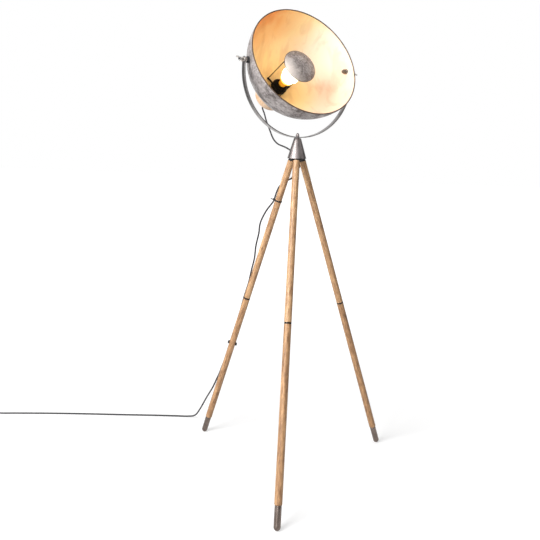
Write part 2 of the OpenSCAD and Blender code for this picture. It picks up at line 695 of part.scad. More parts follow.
module switch_base() {
  color(dark_c) on_switch() difference() {
    union() {
      stadium(switch_l - 12, switch_w, 11);
      translate([-switch_l / 2, 0, gland_z]) rotate([0, 90, 0]) cylinder(r1 = 4.2, r2 = 7, h = 14);
      translate([switch_l / 2 - 14, 0, gland_z]) rotate([0, 90, 0]) cylinder(r1 = 7, r2 = 4.2, h = 14);
    }
    translate([0, 0, 2.5]) stadium(switch_l - 26, switch_w - 6, 12);
    gland_bores();
  }
}
module switch_cover() {
  color(dark_c) on_switch() difference() {
    union() {
      translate([0, 0, 11 + seat_gap]) stadium(switch_l - 12, switch_w, 5);
      translate([0, 0, 15.9]) stadium(switch_l - 18, switch_w - 6, 4);
    }
    translate([0, 0, 10]) stadium(switch_l - 26, switch_w - 8, 7.5);
    translate([0, 0, 10]) cylinder(r = 11.06, h = 20);
    // the glands stand a little higher than the base
    for (side = [-1, 1]) scale([side, 1, 1]) translate([switch_l / 2 - 14, 0, gland_z]) rotate([0, 90, 0])
      cylinder(r = 7.2, h = 20);
  }
}
module switch_button() {
  color(dark_c) on_switch() {
    translate([0, 0, 13]) cylinder(r = 11, h = 10);
    translate([0, 0, 22.9]) cylinder(r1 = 11, r2 = 9.5, h = 1.2);
    translate([0, 0, 13]) cylinder(r = 12.4, h = 2);
  }
}
spring_path = [for (i = [0 : 48]) [6 * cos(i * 30), 6 * sin(i * 30), 3.4 + 8.9 * i / 48]];
module switch_spring() {
  color(steel_c) on_switch() tube(spring_path, 0.5, 6, [0, 0, 1], [0, 1, 0.1], [0, 1, 0.1]);
}
module plug_body() {
  color(dark_c) on_plug() difference() {
    union() {
      rotate([0, 90, 0]) cylinder(r1 = cord_r + 1.2, r2 = 6, h = 22.1);
      translate([22, 0, -plug_z]) linear_extrude(2 * plug_z) polygon([
        [0, -7], [10, -12], [20, -17.5], [34, -17.5], [34, 17.5], [20, 17.5], [10, 12], [0, 7]]);
    }
    translate([-1, 0, 0]) rotate([0, 90, 0]) cylinder(r = cord_r - 0.5, h = 20);
    for (side = [-1, 1]) translate([46, side * pin_half_pitch, 0]) rotate([0, 90, 0]) cylinder(r = pin_shank_r + 0.05, h = 12);
  }
}
module plug_pins() {
  color(nickel_c) on_plug() for (side = [-1, 1]) translate([47, side * pin_half_pitch, 0]) rotate([0, 90, 0]) {
    cylinder(r = pin_shank_r, h = 9.1);
    translate([0, 0, 9 + seat_gap]) cylinder(r = pin_r, h = pin_len);
    translate([0, 0, 9 + seat_gap + pin_len]) cylinder(r1 = pin_r, r2 = 1.2, h = 1);
  }
}

hub_cone();
hub_block();
centre_bolt();
yoke_washers();
dome_nut();
hub_lock_nut();
leg_studs();
leg_collars();
upper_leg(leg_azimuths[0]);  // upper_leg_front
upper_leg(leg_azimuths[1]);  // upper_leg_left
upper_leg(leg_azimuths[2]);  // upper_leg_right
leg_joint_rings();
leg_joint_studs();
lower_leg(leg_azimuths[0]);  // lower_leg_front
lower_leg(leg_azimuths[1]);  // lower_leg_left
lower_leg(leg_azimuths[2]);  // lower_leg_right
foot(leg_azimuths[0]);  // foot_front
foot(leg_azimuths[1]);  // foot_left
foot(leg_azimuths[2]);  // foot_right
cable_tie();
cable_clip();
yoke();
shade();
rear_cap();
threaded_tube();
tube_nuts();
cord_grip();
stay_plate();
stay_rods();
reflector_dish();
lamp_holder();
bulb_glass();
bulb_base();
pivot_studs();
pivot_nuts();
pivot_washers();
pivot_pads();
wing_nut_left();
wing_nut_right();
cord_head_stretch();
cord_hub_stretch();
cord_leg_stretch();
cord_coil();
switch_base();
switch_cover();
switch_button();
switch_spring();
plug_body();
plug_pins();
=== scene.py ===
"""Tripod spotlight floor lamp: finishes, modelled pieces, cords, camera and light around the fixed frame."""

import json
import logging
import math
from dataclasses import dataclass
from enum import Enum
from typing import Any, Iterable, Sequence

import bpy
import numpy as np
from mathutils import Matrix, Vector

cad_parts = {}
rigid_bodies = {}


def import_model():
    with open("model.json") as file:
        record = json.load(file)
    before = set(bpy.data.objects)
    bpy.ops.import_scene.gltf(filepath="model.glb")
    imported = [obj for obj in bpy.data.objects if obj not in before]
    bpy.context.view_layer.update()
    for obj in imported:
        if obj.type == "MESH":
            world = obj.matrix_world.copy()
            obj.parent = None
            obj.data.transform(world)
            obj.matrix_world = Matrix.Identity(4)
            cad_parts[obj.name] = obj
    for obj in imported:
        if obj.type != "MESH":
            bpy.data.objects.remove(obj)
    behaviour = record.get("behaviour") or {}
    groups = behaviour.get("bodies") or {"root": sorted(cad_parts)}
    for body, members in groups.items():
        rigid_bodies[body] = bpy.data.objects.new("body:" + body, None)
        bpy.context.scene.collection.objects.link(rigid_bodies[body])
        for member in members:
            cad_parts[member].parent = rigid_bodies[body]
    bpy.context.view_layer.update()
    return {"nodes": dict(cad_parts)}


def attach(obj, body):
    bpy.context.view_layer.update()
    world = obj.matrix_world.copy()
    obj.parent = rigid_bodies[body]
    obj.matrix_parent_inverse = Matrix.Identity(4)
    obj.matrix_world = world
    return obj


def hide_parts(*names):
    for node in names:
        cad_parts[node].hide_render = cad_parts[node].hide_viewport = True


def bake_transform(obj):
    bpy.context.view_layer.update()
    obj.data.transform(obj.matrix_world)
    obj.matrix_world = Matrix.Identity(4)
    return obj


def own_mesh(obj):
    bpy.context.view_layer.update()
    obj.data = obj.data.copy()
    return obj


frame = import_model()

LOG = logging.getLogger("lamp")
MM = 0.001

# Sizes that several sub-assemblies share, in millimetres and degrees, as in the part's source
HUB_HEIGHT = 1000.0
LEG_TOP_RADIUS = 18.7
LEG_SPLAY = 18.783
LEG_RADIUS = 11.25
HEAD_YAW = 35.2
HEAD_TILT = 24.0
PIVOT_HEIGHT = 1304.5
CORD_DIAMETER = 5.5

# Edges that turn by more than the first angle are rounded, and by more than the second shaded sharp
EASED_ANGLE = 32.0
SHARP_ANGLE = 40.0
# Faces that turn by less than this are one flat face
FLAT_ANGLE = 0.5
# Points of a turned and of a carried piece that are this close are one point, in metres
TURNED_MERGE = 0.00002
CARRIED_MERGE = 0.00001
# The nuts of the pivots that are farther from the middle than this stand outside the shade, in metres
OUTSIDE_NUTS = 0.19

WHITE = (1.0, 1.0, 1.0, 1.0)
Point = tuple[float, float, float]


class Body(Enum):
    """The moving bodies of the lamp."""

    STAND = "stand"
    YOKE = "yoke_frame"
    HEAD = "head"
    LEFT_WING = "left_wing_nut"
    RIGHT_WING = "right_wing_nut"
    BUTTON = "foot_button"


class Leg(Enum):
    """The three legs and the way each one points, in degrees."""

    FRONT = -90.0
    LEFT = 150.0
    RIGHT = 30.0


# ---------------------------------------------------------------- places


def leg_point(leg: Leg, down: float, side: float, out: float) -> Point:
    """Find a point beside a leg.

    Args:
        leg: The leg.
        down: Distance down the leg from its upper end, in millimetres.
        side: Distance sideways from the leg's axis.
        out: Distance outwards from the leg's axis.

    Returns:
        The point in the row frame, in millimetres.
    """
    s, c = math.sin(math.radians(LEG_SPLAY)), math.cos(math.radians(LEG_SPLAY))
    x, y, z = LEG_TOP_RADIUS + down * s + out * c, side, HUB_HEIGHT - down * c + out * s
    a = math.radians(leg.value)
    return (x * math.cos(a) - y * math.sin(a), x * math.sin(a) + y * math.cos(a), z)


def leg_matrix(leg: Leg) -> Matrix:
    """Give the frame of a leg, with its origin at the upper end and its Z back up the leg.

    Args:
        leg: The leg.

    Returns:
        The frame, in metres.
    """
    return (
        Matrix.Rotation(math.radians(leg.value), 4, "Z")
        @ Matrix.Translation((LEG_TOP_RADIUS * MM, 0.0, HUB_HEIGHT * MM))
        @ Matrix.Rotation(math.radians(-LEG_SPLAY), 4, "Y")
    )


def head_matrix() -> Matrix:
    """Give the frame of the head, with its origin on the tilt axis and its Z along the lamp axis.

    Returns:
        The frame, in metres.
    """
    return (
        Matrix.Translation((0.0, 0.0, PIVOT_HEIGHT * MM))
        @ Matrix.Rotation(math.radians(HEAD_YAW), 4, "Z")
        @ Matrix.Rotation(math.radians(90.0 - HEAD_TILT), 4, "X")
    )


def head_point(x: float, y: float, z: float) -> Point:
    """Turn a point of the head's frame into the row frame, both in millimetres."""
    p = head_matrix() @ Vector((x * MM, y * MM, z * MM))
    return (p.x / MM, p.y / MM, p.z / MM)


# ---------------------------------------------------------------- nodes of a material


def linear(hex_colour: str) -> tuple[float, float, float, float]:
    """Turn an sRGB hex colour into the linear colour that a shader takes.

    Args:
        hex_colour: Six hex digits, with or without a leading hash.

    Returns:
        Red, green, blue and alpha.
    """
    digits = hex_colour.lstrip("#")
    parts = [int(digits[i : i + 2], 16) / 255 for i in (0, 2, 4)]
    r, g, b = (v / 12.92 if v <= 0.04045 else ((v + 0.055) / 1.055) ** 2.4 for v in parts)
    return (r, g, b, 1.0)


def set_inputs(node: bpy.types.Node, links: dict[str | int, Any]) -> None:
    """Fill inputs of a node.

    Args:
        node: The node.
        links: Input name or number, and the value or the output socket that goes into it.
    """
    for key, value in links.items():
        if isinstance(value, bpy.types.NodeSocket):
            node.id_data.links.new(value, node.inputs[key])
        else:
            node.inputs[key].default_value = value


def add_node(
    tree: bpy.types.NodeTree,
    kind: str,
    links: dict[str | int, Any] | None = None,
    stops: Sequence[tuple[float, Any]] = (),
    **settings: Any,
) -> bpy.types.Node:
    """Add one node with its settings, its values and its links.

    Args:
        tree: The node tree.
        kind: The node's type name.
        links: Input name or number, and the value or the output socket that goes into it.
        stops: Place and colour of each stop of a colour ramp.
        **settings: Properties of the node.

    Returns:
        The node.
    """
    made = tree.nodes.new(kind)
    for name, value in settings.items():
        setattr(made, name, value)
    set_inputs(made, links or {})
    if stops:
        ramp = made.color_ramp
        while len(ramp.elements) < len(stops):
            ramp.elements.new(1.0)
        for element, (place, colour) in zip(ramp.elements, stops):
            element.position = place
            element.color = linear(colour) if isinstance(colour, str) else (colour, colour, colour, 1.0)
    return made


def start_material(name: str) -> tuple[bpy.types.Material, bpy.types.NodeTree, bpy.types.Node]:
    """Make an empty material with its main shader.

    Args:
        name: The material's name.

    Returns:
        The material, its node tree and the shader node.
    """
    material = bpy.data.materials.new(name)
    material.use_nodes = True
    tree = material.node_tree
    tree.nodes.clear()
    shader = add_node(tree, "ShaderNodeBsdfPrincipled")
    add_node(tree, "ShaderNodeOutputMaterial", {"Surface": shader.outputs["BSDF"]})
    return material, tree, shader


def local_coordinates(tree: bpy.types.NodeTree, frame_of: Matrix | None = None) -> bpy.types.NodeSocket:
    """Give object coordinates, turned into a piece's own frame.

    Args:
        tree: The node tree.
        frame_of: The frame to turn them into; the row frame where it is None.

    Returns:
        The socket with the coordinates, in metres.
    """
    places = add_node(tree, "ShaderNodeTexCoord").outputs["Object"]
    if frame_of is None:
        return places
    back = frame_of.inverted()
    mapping = add_node(
        tree,
        "ShaderNodeMapping",
        {"Vector": places, "Location": back.to_translation(), "Rotation": back.to_euler()},
    )
    return mapping.outputs["Vector"]


# ---------------------------------------------------------------- finishes


@dataclass(frozen=True)
class MetalFinish:
    """Plain metal with a fine direction of work, soft clouds of oxide and small scratches."""

    name: str
    light: str
    dark: str
    roughness: float = 0.35
    spread: float = 0.1
    cloud_mm: float = 30.0
    line_mm: float = 0.8
    bump: float = 0.05
    stretch: Point = (1.0, 1.0, 12.0)
    metallic: float = 1.0

    def make(self, frame_of: Matrix | None = None) -> bpy.types.Material:
        """Build the material.

        Args:
            frame_of: The frame of the piece, where the work lines follow it.

        Returns:
            The material.
        """
        material, tree, shader = start_material(self.name)
        at = local_coordinates(tree, frame_of)
        clouds = add_node(
            tree,
            "ShaderNodeTexNoise",
            {"Vector": at, "Scale": 1000 / self.cloud_mm, "Detail": 5.0, "Roughness": 0.6},
        )
        fine = 1000 / self.line_mm
        drawn = add_node(
            tree,
            "ShaderNodeMapping",
            {"Vector": at, "Scale": tuple(fine / s for s in self.stretch)},
        )
        lines = add_node(
            tree, "ShaderNodeTexNoise", {"Vector": drawn.outputs["Vector"], "Scale": 1.0, "Detail": 2.0}
        )
        both = add_node(
            tree,
            "ShaderNodeMath",
            {0: clouds.outputs["Fac"], 1: lines.outputs["Fac"]},
            operation="ADD",
        )
        tone = add_node(
            tree,
            "ShaderNodeValToRGB",
            {
                "Fac": add_node(
                    tree, "ShaderNodeMath", {0: both.outputs[0], 1: 0.5}, operation="MULTIPLY"
                ).outputs[0],
            },
            stops=[(0.36, self.dark), (0.62, self.light)],
        )
        rough = add_node(
            tree,
            "ShaderNodeMapRange",
            {
                "Value": both.outputs[0],
                "From Min": 0.7,
                "From Max": 1.3,
                "To Min": self.roughness + self.spread,
                "To Max": self.roughness - self.spread,
            },
        )
        relief = add_node(
            tree,
            "ShaderNodeBump",
            {"Height": lines.outputs["Fac"], "Strength": self.bump, "Distance": 0.0002},
        )
        set_inputs(
            shader,
            {
                "Metallic": self.metallic,
                "Base Color": tone.outputs["Color"],
                "Roughness": rough.outputs[0],
                "Normal": relief.outputs["Normal"],
            },
        )
        return material


@dataclass(frozen=True)
class ZincPatina:
    """Zinc sheet, spun and then patinated: mottled pale and dark warm grey, dull, with fine flecks."""

    name: str = "zinc_sheet_spun_patinated"
    pale: str = "#cac2c0"
    middle: str = "#a39b99"
    dark: str = "#69615f"
    fleck: str = "#4f4846"
    # how wide one blot of patina is
    blot_mm: float = 10.0
    # share of the brushing, which runs out from the Z axis
    brushed: float = 0.0
    metallic: float = 0.45
    # on which side of the edge a glow of the bulb's light is painted, in degrees round the Z axis, and how
    # far out it is; 0 for none
    painted_glow_way: float = 208.0
    painted_glow_mm: float = 0.0
    # where the painted glow starts and is full, as shares of that distance, and how much it then covers
    painted_glow_start: float = 0.15
    painted_glow_full: float = 0.95
    painted_glow_share: float = 0.85
    painted_glow: str = "#f6ece4"

    def make(self, frame_of: Matrix | None = None) -> bpy.types.Material:
        """Build the material.

        Args:
            frame_of: The frame of the piece, where the brushing runs out from its Z axis.

        Returns:
            The material.
        """
        material, tree, shader = start_material(self.name)
        at = local_coordinates(tree, frame_of)
        # clouds four blots wide, blots, and flecks a fifth of a blot wide
        clouds = add_node(
            tree,
            "ShaderNodeTexNoise",
            {"Vector": at, "Scale": 250 / self.blot_mm, "Detail": 6.0, "Distortion": 0.6},
        )
        blots = add_node(
            tree,
            "ShaderNodeTexNoise",
            {"Vector": at, "Scale": 1000 / self.blot_mm, "Detail": 7.0, "Roughness": 0.72},
        )
        flecks = add_node(
            tree,
            "ShaderNodeTexNoise",
            {"Vector": at, "Scale": 5000 / self.blot_mm, "Detail": 3.0, "Roughness": 0.8},
        )
        flat = add_node(tree, "ShaderNodeVectorMath", {0: at, 1: (1.0, 1.0, 0.0)}, operation="MULTIPLY")
        way = add_node(tree, "ShaderNodeVectorMath", {0: flat.outputs[0]}, operation="NORMALIZE")
        brush = add_node(
            tree,
            "ShaderNodeTexNoise",
            {"Vector": way.outputs[0], "Scale": 16.0, "Detail": 5.0, "Roughness": 0.75},
        )
        patina = add_node(
            tree,
            "ShaderNodeMix",
            {0: 0.58, 2: clouds.outputs["Fac"], 3: blots.outputs["Fac"]},
            data_type="FLOAT",
        )
        mixed = add_node(
            tree,
            "ShaderNodeMix",
            {0: self.brushed, 2: patina.outputs[0], 3: brush.outputs["Fac"]},
            data_type="FLOAT",
        )
        tone = add_node(
            tree,
            "ShaderNodeValToRGB",
            {"Fac": mixed.outputs[0]},
            stops=[(0.4, self.dark), (0.5, self.middle), (0.6, self.pale)],
        )
        fleck_mask = add_node(
            tree, "ShaderNodeValToRGB", {"Fac": flecks.outputs["Fac"]}, stops=[(0.36, 0.6), (0.46, 0.0)]
        )
        colour = add_node(
            tree,
            "ShaderNodeMix",
            {0: fleck_mask.outputs["Color"], 6: tone.outputs["Color"], 7: linear(self.fleck)},
            data_type="RGBA",
        )
        # painted glow of the bulb's light, lighter towards one side of the edge
        if self.painted_glow_mm:
            turn = math.radians(self.painted_glow_way)
            reach = add_node(
                tree,
                "ShaderNodeVectorMath",
                {0: at, 1: (math.cos(turn), math.sin(turn), 0.0)},
                operation="DOT_PRODUCT",
            )
            share = add_node(
                tree,
                "ShaderNodeMapRange",
                {
                    "Value": reach.outputs["Value"],
                    "From Min": self.painted_glow_mm * MM * self.painted_glow_start,
                    "From Max": self.painted_glow_mm * MM * self.painted_glow_full,
                    "To Max": self.painted_glow_share,
                },
                interpolation_type="SMOOTHSTEP",
            )
            colour = add_node(
                tree,
                "ShaderNodeMix",
                {0: share.outputs[0], 6: colour.outputs[2], 7: linear(self.painted_glow)},
                data_type="RGBA",
            )
        rough = add_node(
            tree,
            "ShaderNodeMapRange",
            {"Value": mixed.outputs[0], "From Min": 0.4, "From Max": 0.6, "To Min": 0.66, "To Max": 0.45},
        )
        relief = add_node(
            tree,
            "ShaderNodeBump",
            {"Height": mixed.outputs[0], "Strength": 0.3, "Distance": 0.0006},
        )
        set_inputs(
            shader,
            {
                "Metallic": self.metallic,
                "Base Color": colour.outputs[2],
                "Roughness": rough.outputs[0],
                "Normal": relief.outputs["Normal"],
            },
        )
        return material


@dataclass(frozen=True)
class CreamLacquerPaintedGlow:
    """Cream lacquer sprayed inside the shade, with the bulb's light painted on: an orange glow at one side of
    the rim, pink low down and a yellow glow far in.
    """

    name: str = "cream_lacquer_painted_glow"
    # painted bulb light: the orange glow at the rim, its paler band, the pale side and the pink low part;
    # middle is the lacquer's own cream
    rim: str = "#f59648"
    near_rim: str = "#fccb88"
    side: str = "#fce6b2"
    middle: str = "#fbecdc"
    low: str = "#f6dcc8"
    # the yellow glow far in is painted bulb light
    deep: str = "#ffe3a0"
    stain: str = "#c98a52"
    # where the painted orange glow is, in degrees round the lamp axis
    lacquer_glow_way: float = 125.0
    # where the painted tones start on the pink side and end on the orange glow, from the lamp axis in metres
    low_side: float = -0.16
    lacquer_glow_side: float = 0.23
    # where along the lamp axis the painted yellow glow far in starts and is full, in metres
    deep_start: float = -0.08
    deep_full: float = -0.165

    def make(self, frame_of: Matrix | None = None) -> bpy.types.Material:
        """Build the material.

        Args:
            frame_of: The frame of the piece, with its Z along the lamp axis.

        Returns:
            The material.
        """
        material, tree, shader = start_material(self.name)
        at = local_coordinates(tree, frame_of)
        way = (math.cos(math.radians(self.lacquer_glow_way)), math.sin(math.radians(self.lacquer_glow_way)), 0.0)
        across = add_node(tree, "ShaderNodeVectorMath", {0: at, 1: way}, operation="DOT_PRODUCT")
        clouds = add_node(
            tree, "ShaderNodeTexNoise", {"Vector": at, "Scale": 11.0, "Detail": 4.0, "Roughness": 0.6}
        )
        wander = add_node(
            tree,
            "ShaderNodeMath",
            {0: clouds.outputs["Fac"], 1: 0.07, 2: across.outputs["Value"]},
            operation="MULTIPLY_ADD",
        )
        place = add_node(
            tree,
            "ShaderNodeMapRange",
            {"Value": wander.outputs[0], "From Min": self.low_side, "From Max": self.lacquer_glow_side},
        )
        # painted bulb light across the shade, from pink low down to the orange glow at one side of the rim
        tone = add_node(
            tree,
            "ShaderNodeValToRGB",
            {"Fac": place.outputs[0]},
            stops=[
                (0.04, self.low),
                (0.32, self.middle),
                (0.58, self.middle),
                (0.78, self.side),
                (0.92, self.near_rim),
                (1.0, self.rim),
            ],
        )
        # painted yellow glow of the bulb, growing towards the pole
        depth = add_node(
            tree,
            "ShaderNodeMapRange",
            {
                "Value": add_node(tree, "ShaderNodeSeparateXYZ", {0: at}).outputs["Z"],
                "From Min": self.deep_start,
                "From Max": self.deep_full,
            },
            interpolation_type="SMOOTHSTEP",
        )
        colour = add_node(
            tree,
            "ShaderNodeMix",
            {0: depth.outputs[0], 6: tone.outputs["Color"], 7: linear(self.deep)},
            data_type="RGBA",
        )
        # soft brown streaks where the lacquer ran thin over the sheet, about three times as long as wide
        drawn = add_node(tree, "ShaderNodeMapping", {"Vector": at, "Scale": (30.0, 9.0, 12.0)})
        veins = add_node(
            tree,
            "ShaderNodeTexNoise",
            {
                "Vector": drawn.outputs["Vector"],
                "Scale": 1.0,
                "Detail": 6.0,
                "Roughness": 0.55,
                "Distortion": 0.5,
            },
        )
        thin = add_node(
            tree,
            "ShaderNodeValToRGB",
            {"Fac": veins.outputs["Fac"]},
            stops=[(0.5, 0.0), (0.66, 0.24), (0.78, 0.08)],
        )
        colour = add_node(
            tree,
            "ShaderNodeMix",
            {0: thin.outputs["Color"], 6: colour.outputs[2], 7: linear(self.stain)},
            data_type="RGBA",
        )
        peel = add_node(tree, "ShaderNodeTexNoise", {"Vector": at, "Scale": 420.0, "Detail": 2.0})
        relief = add_node(
            tree, "ShaderNodeBump", {"Height": peel.outputs["Fac"], "Strength": 0.12, "Distance": 0.0003}
        )
        set_inputs(
            shader, {"Roughness": 0.55, "Base Color": colour.outputs[2], "Normal": relief.outputs["Normal"]}
        )
        return material


@dataclass(frozen=True)
class TurnedWood:
    """Hardwood, turned and oiled: long grain lines, pores and soft figure along the piece's Z axis."""

    name: str
    pale: str
    middle: str
    dark: str
    # width and length of one line of the grain; the figure is about three times as coarse
    grain_mm: float = 2.4
    length_mm: float = 28.0
    roughness: float = 0.42
    shift: Point = (0.0, 0.0, 0.0)

    def make(self, frame_of: Matrix | None = None) -> bpy.types.Material:
        """Build the material.

        Args:
            frame_of: The frame of the piece, whose Z axis the grain follows.

        Returns:
            The material.
        """
        material, tree, shader = start_material(self.name)
        at = local_coordinates(tree, frame_of)
        across, along = 1000 / self.grain_mm, 1000 / self.length_mm
        drawn = add_node(
            tree,
            "ShaderNodeMapping",
            {"Vector": at, "Location": self.shift, "Scale": (across, across * 0.75, along)},
        )
        figure = add_node(
            tree,
            "ShaderNodeTexNoise",
            {
                "Vector": drawn.outputs["Vector"],
                "Scale": 0.35,
                "Detail": 4.0,
                "Roughness": 0.55,
                "Distortion": 0.8,
            },
        )
        grain = add_node(
            tree,
            "ShaderNodeTexNoise",
            {
                "Vector": drawn.outputs["Vector"],
                "Scale": 1.0,
                "Detail": 6.0,
                "Roughness": 0.65,
                "Distortion": 0.3,
            },
        )
        pores = add_node(
            tree,
            "ShaderNodeTexNoise",
            {"Vector": drawn.outputs["Vector"], "Scale": 4.2, "Detail": 2.0, "Roughness": 0.5},
        )
        # blotches, 12 mm across and twice as long, that show from far away
        blotch = add_node(
            tree,
            "ShaderNodeTexNoise",
            {
                "Vector": add_node(
                    tree, "ShaderNodeMapping", {"Vector": at, "Scale": (80.0, 80.0, 40.0)}
                ).outputs[0],
                "Scale": 1.0,
                "Detail": 4.0,
                "Roughness": 0.6,
            },
        )
        lines = add_node(
            tree,
            "ShaderNodeMix",
            {0: 0.55, 2: figure.outputs["Fac"], 3: grain.outputs["Fac"]},
            data_type="FLOAT",
        )
        mixed = add_node(
            tree,
            "ShaderNodeMix",
            {0: 0.24, 2: lines.outputs[0], 3: blotch.outputs["Fac"]},
            data_type="FLOAT",
        )
        tone = add_node(
            tree,
            "ShaderNodeValToRGB",
            {"Fac": mixed.outputs[0]},
            stops=[(0.37, self.dark), (0.47, self.middle), (0.58, self.pale)],
        )
        pore_mask = add_node(
            tree, "ShaderNodeValToRGB", {"Fac": pores.outputs["Fac"]}, stops=[(0.33, 0.6), (0.42, 0.0)]
        )
        colour = add_node(
            tree,
            "ShaderNodeMix",
            {0: pore_mask.outputs["Color"], 6: tone.outputs["Color"], 7: linear(self.dark)},
            data_type="RGBA",
        )
        rough = add_node(
            tree,
            "ShaderNodeMapRange",
            {
                "Value": grain.outputs["Fac"],
                "From Min": 0.3,
                "From Max": 0.7,
                "To Min": self.roughness + 0.12,
                "To Max": self.roughness - 0.08,
            },
        )
        relief = add_node(
            tree,
            "ShaderNodeBump",
            {"Height": pores.outputs["Fac"], "Strength": 0.18, "Distance": 0.0003},
        )
        set_inputs(
            shader,
            {
                "Base Color": colour.outputs[2],
                "Roughness": rough.outputs[0],
                "Normal": relief.outputs["Normal"],
            },
        )
        return material


@dataclass(frozen=True)
class MouldedBlack:
    """Black plastic or rubber from a mould, or black powder coat: fine grit, dust and rubbed places."""

    name: str
    base: str = "#17171a"
    rubbed: str = "#34343a"
    roughness: float = 0.45
    grit_mm: float = 0.7
    bump: float = 0.2
    gloss: float = 0.5

    def make(self, frame_of: Matrix | None = None) -> bpy.types.Material:
        """Build the material.

        Args:
            frame_of: The frame of the piece.

        Returns:
            The material.
        """
        material, tree, shader = start_material(self.name)
        at = local_coordinates(tree, frame_of)
        dust = add_node(
            tree, "ShaderNodeTexNoise", {"Vector": at, "Scale": 60.0, "Detail": 6.0, "Roughness": 0.7}
        )
        grit = add_node(
            tree, "ShaderNodeTexNoise", {"Vector": at, "Scale": 1000 / self.grit_mm, "Detail": 1.0}
        )
        tone = add_node(
            tree,
            "ShaderNodeValToRGB",
            {"Fac": dust.outputs["Fac"]},
            stops=[(0.45, self.base), (0.78, self.rubbed)],
        )
        rough = add_node(
            tree,
            "ShaderNodeMapRange",
            {"Value": dust.outputs["Fac"], "To Min": self.roughness + 0.15, "To Max": self.roughness - 0.1},
        )
        relief = add_node(
            tree, "ShaderNodeBump", {"Height": grit.outputs["Fac"], "Strength": self.bump, "Distance": 0.0001}
        )
        set_inputs(
            shader,
            {
                "Specular IOR Level": self.gloss,
                "Base Color": tone.outputs["Color"],
                "Roughness": rough.outputs[0],
                "Normal": relief.outputs["Normal"],
            },
        )
        return material


@dataclass(frozen=True)
class BraidedSheath:
    """Cord sheath, braided from charcoal yarn over rubber: crossing strands on the cord's own UV map."""

    name: str = "charcoal_yarn_braided_sheath"
    pale: str = "#48474a"
    dark: str = "#1f1e20"
    # half the distance between two strands, which are about 2.8 mm apart, coarser than in a real braid
    half_pitch_mm: float = 1.4

    def make(self) -> bpy.types.Material:
        """Build the material, which reads the cord's UV map in metres.

        Returns:
            The material.
        """
        material, tree, shader = start_material(self.name)
        at = add_node(tree, "ShaderNodeUVMap", uv_map="along_cord").outputs["UV"]
        strands = []
        for turn in (1.0, -1.0):
            turned = add_node(
                tree,
                "ShaderNodeMapping",
                {"Vector": at, "Rotation": (0.0, 0.0, math.radians(45.0 * turn))},
            )
            strands.append(
                add_node(
                    tree,
                    "ShaderNodeTexWave",
                    {
                        "Vector": turned.outputs["Vector"],
                        "Scale": 1000 / self.half_pitch_mm / 6.28,
                        "Detail": 0.0,
                    },
                    wave_type="BANDS",
                    bands_direction="X",
                ).outputs["Fac"],
            )
        weave = add_node(tree, "ShaderNodeMath", {0: strands[0], 1: strands[1]}, operation="MULTIPLY")
        lint = add_node(
            tree,
            "ShaderNodeTexNoise",
            {"Vector": add_node(tree, "ShaderNodeTexCoord").outputs["Object"], "Scale": 300.0, "Detail": 3.0},
        )
        mixed = add_node(
            tree,
            "ShaderNodeMix",
            {0: 0.35, 2: weave.outputs[0], 3: lint.outputs["Fac"]},
            data_type="FLOAT",
        )
        tone = add_node(
            tree,
            "ShaderNodeValToRGB",
            {"Fac": mixed.outputs[0]},
            stops=[(0.12, self.dark), (0.62, self.pale)],
        )
        relief = add_node(
            tree, "ShaderNodeBump", {"Height": weave.outputs[0], "Strength": 0.5, "Distance": 0.0003}
        )
        set_inputs(
            shader,
            {
                "Roughness": 0.85,
                "Sheen Weight": 0.3,
                "Sheen Roughness": 0.5,
                "Base Color": tone.outputs["Color"],
                "Normal": relief.outputs["Normal"],
            },
        )
        return material


@dataclass(frozen=True)
class LitOpalGlass:
    """Opal glass of a bulb that is on: amber at its neck and white at its globe, under a clear gloss."""

    name: str = "opal_glass_blown_lit"
    neck: str = "#f09a1c"
    shoulder: str = "#ffc55a"
    globe: str = "#fff1d6"
    unlit: str = "#3a3226"
    neck_glow: float = 0.9
    globe_glow: float = 10.0
    # where along the lamp axis the neck starts and the globe has its full colour, in metres
    neck_place: float = -0.121
    globe_place: float = -0.072

    def make(self) -> bpy.types.Material:
        """Build the material.

        Returns:
            The material.
        """
        material, tree, shader = start_material(self.name)
        at = local_coordinates(tree, head_matrix())
        height = add_node(
            tree,
            "ShaderNodeMapRange",
            {
                "Value": add_node(tree, "ShaderNodeSeparateXYZ", {0: at}).outputs["Z"],
                "From Min": self.neck_place,
                "From Max": self.globe_place,
            },
        )
        tone = add_node(
            tree,
            "ShaderNodeValToRGB",
            {"Fac": height.outputs[0]},
            stops=[(0.3, self.neck), (0.72, self.shoulder), (1.0, self.globe)],
        )
        speck = add_node(tree, "ShaderNodeTexNoise", {"Vector": at, "Scale": 140.0, "Detail": 2.0})
        glow = add_node(
            tree,
            "ShaderNodeMapRange",
            {
                "Value": height.outputs[0],
                "From Min": 0.5,
                "To Min": self.neck_glow,
                "To Max": self.globe_glow,
            },
        )
        uneven = add_node(
            tree, "ShaderNodeMapRange", {"Value": speck.outputs["Fac"], "To Min": 0.92, "To Max": 1.06}
        )
        power = add_node(
            tree, "ShaderNodeMath", {0: glow.outputs[0], 1: uneven.outputs[0]}, operation="MULTIPLY"
        )
        set_inputs(
            shader,
            {
                "Base Color": linear(self.unlit),
                "Roughness": 0.12,
                "Emission Color": tone.outputs["Color"],
                "Emission Strength": power.outputs[0],
            },
        )
        return material


# ---------------------------------------------------------------- modelling by hand


def pick_only(*objects: bpy.types.Object) -> None:
    """Leave only these objects selected, with the first one active.

    Args:
        *objects: The objects; none clears the selection.
    """
    for other in bpy.context.view_layer.objects:
        other.select_set(False)
    for piece in objects:
        piece.select_set(True)
    bpy.context.view_layer.objects.active = objects[0] if objects else None


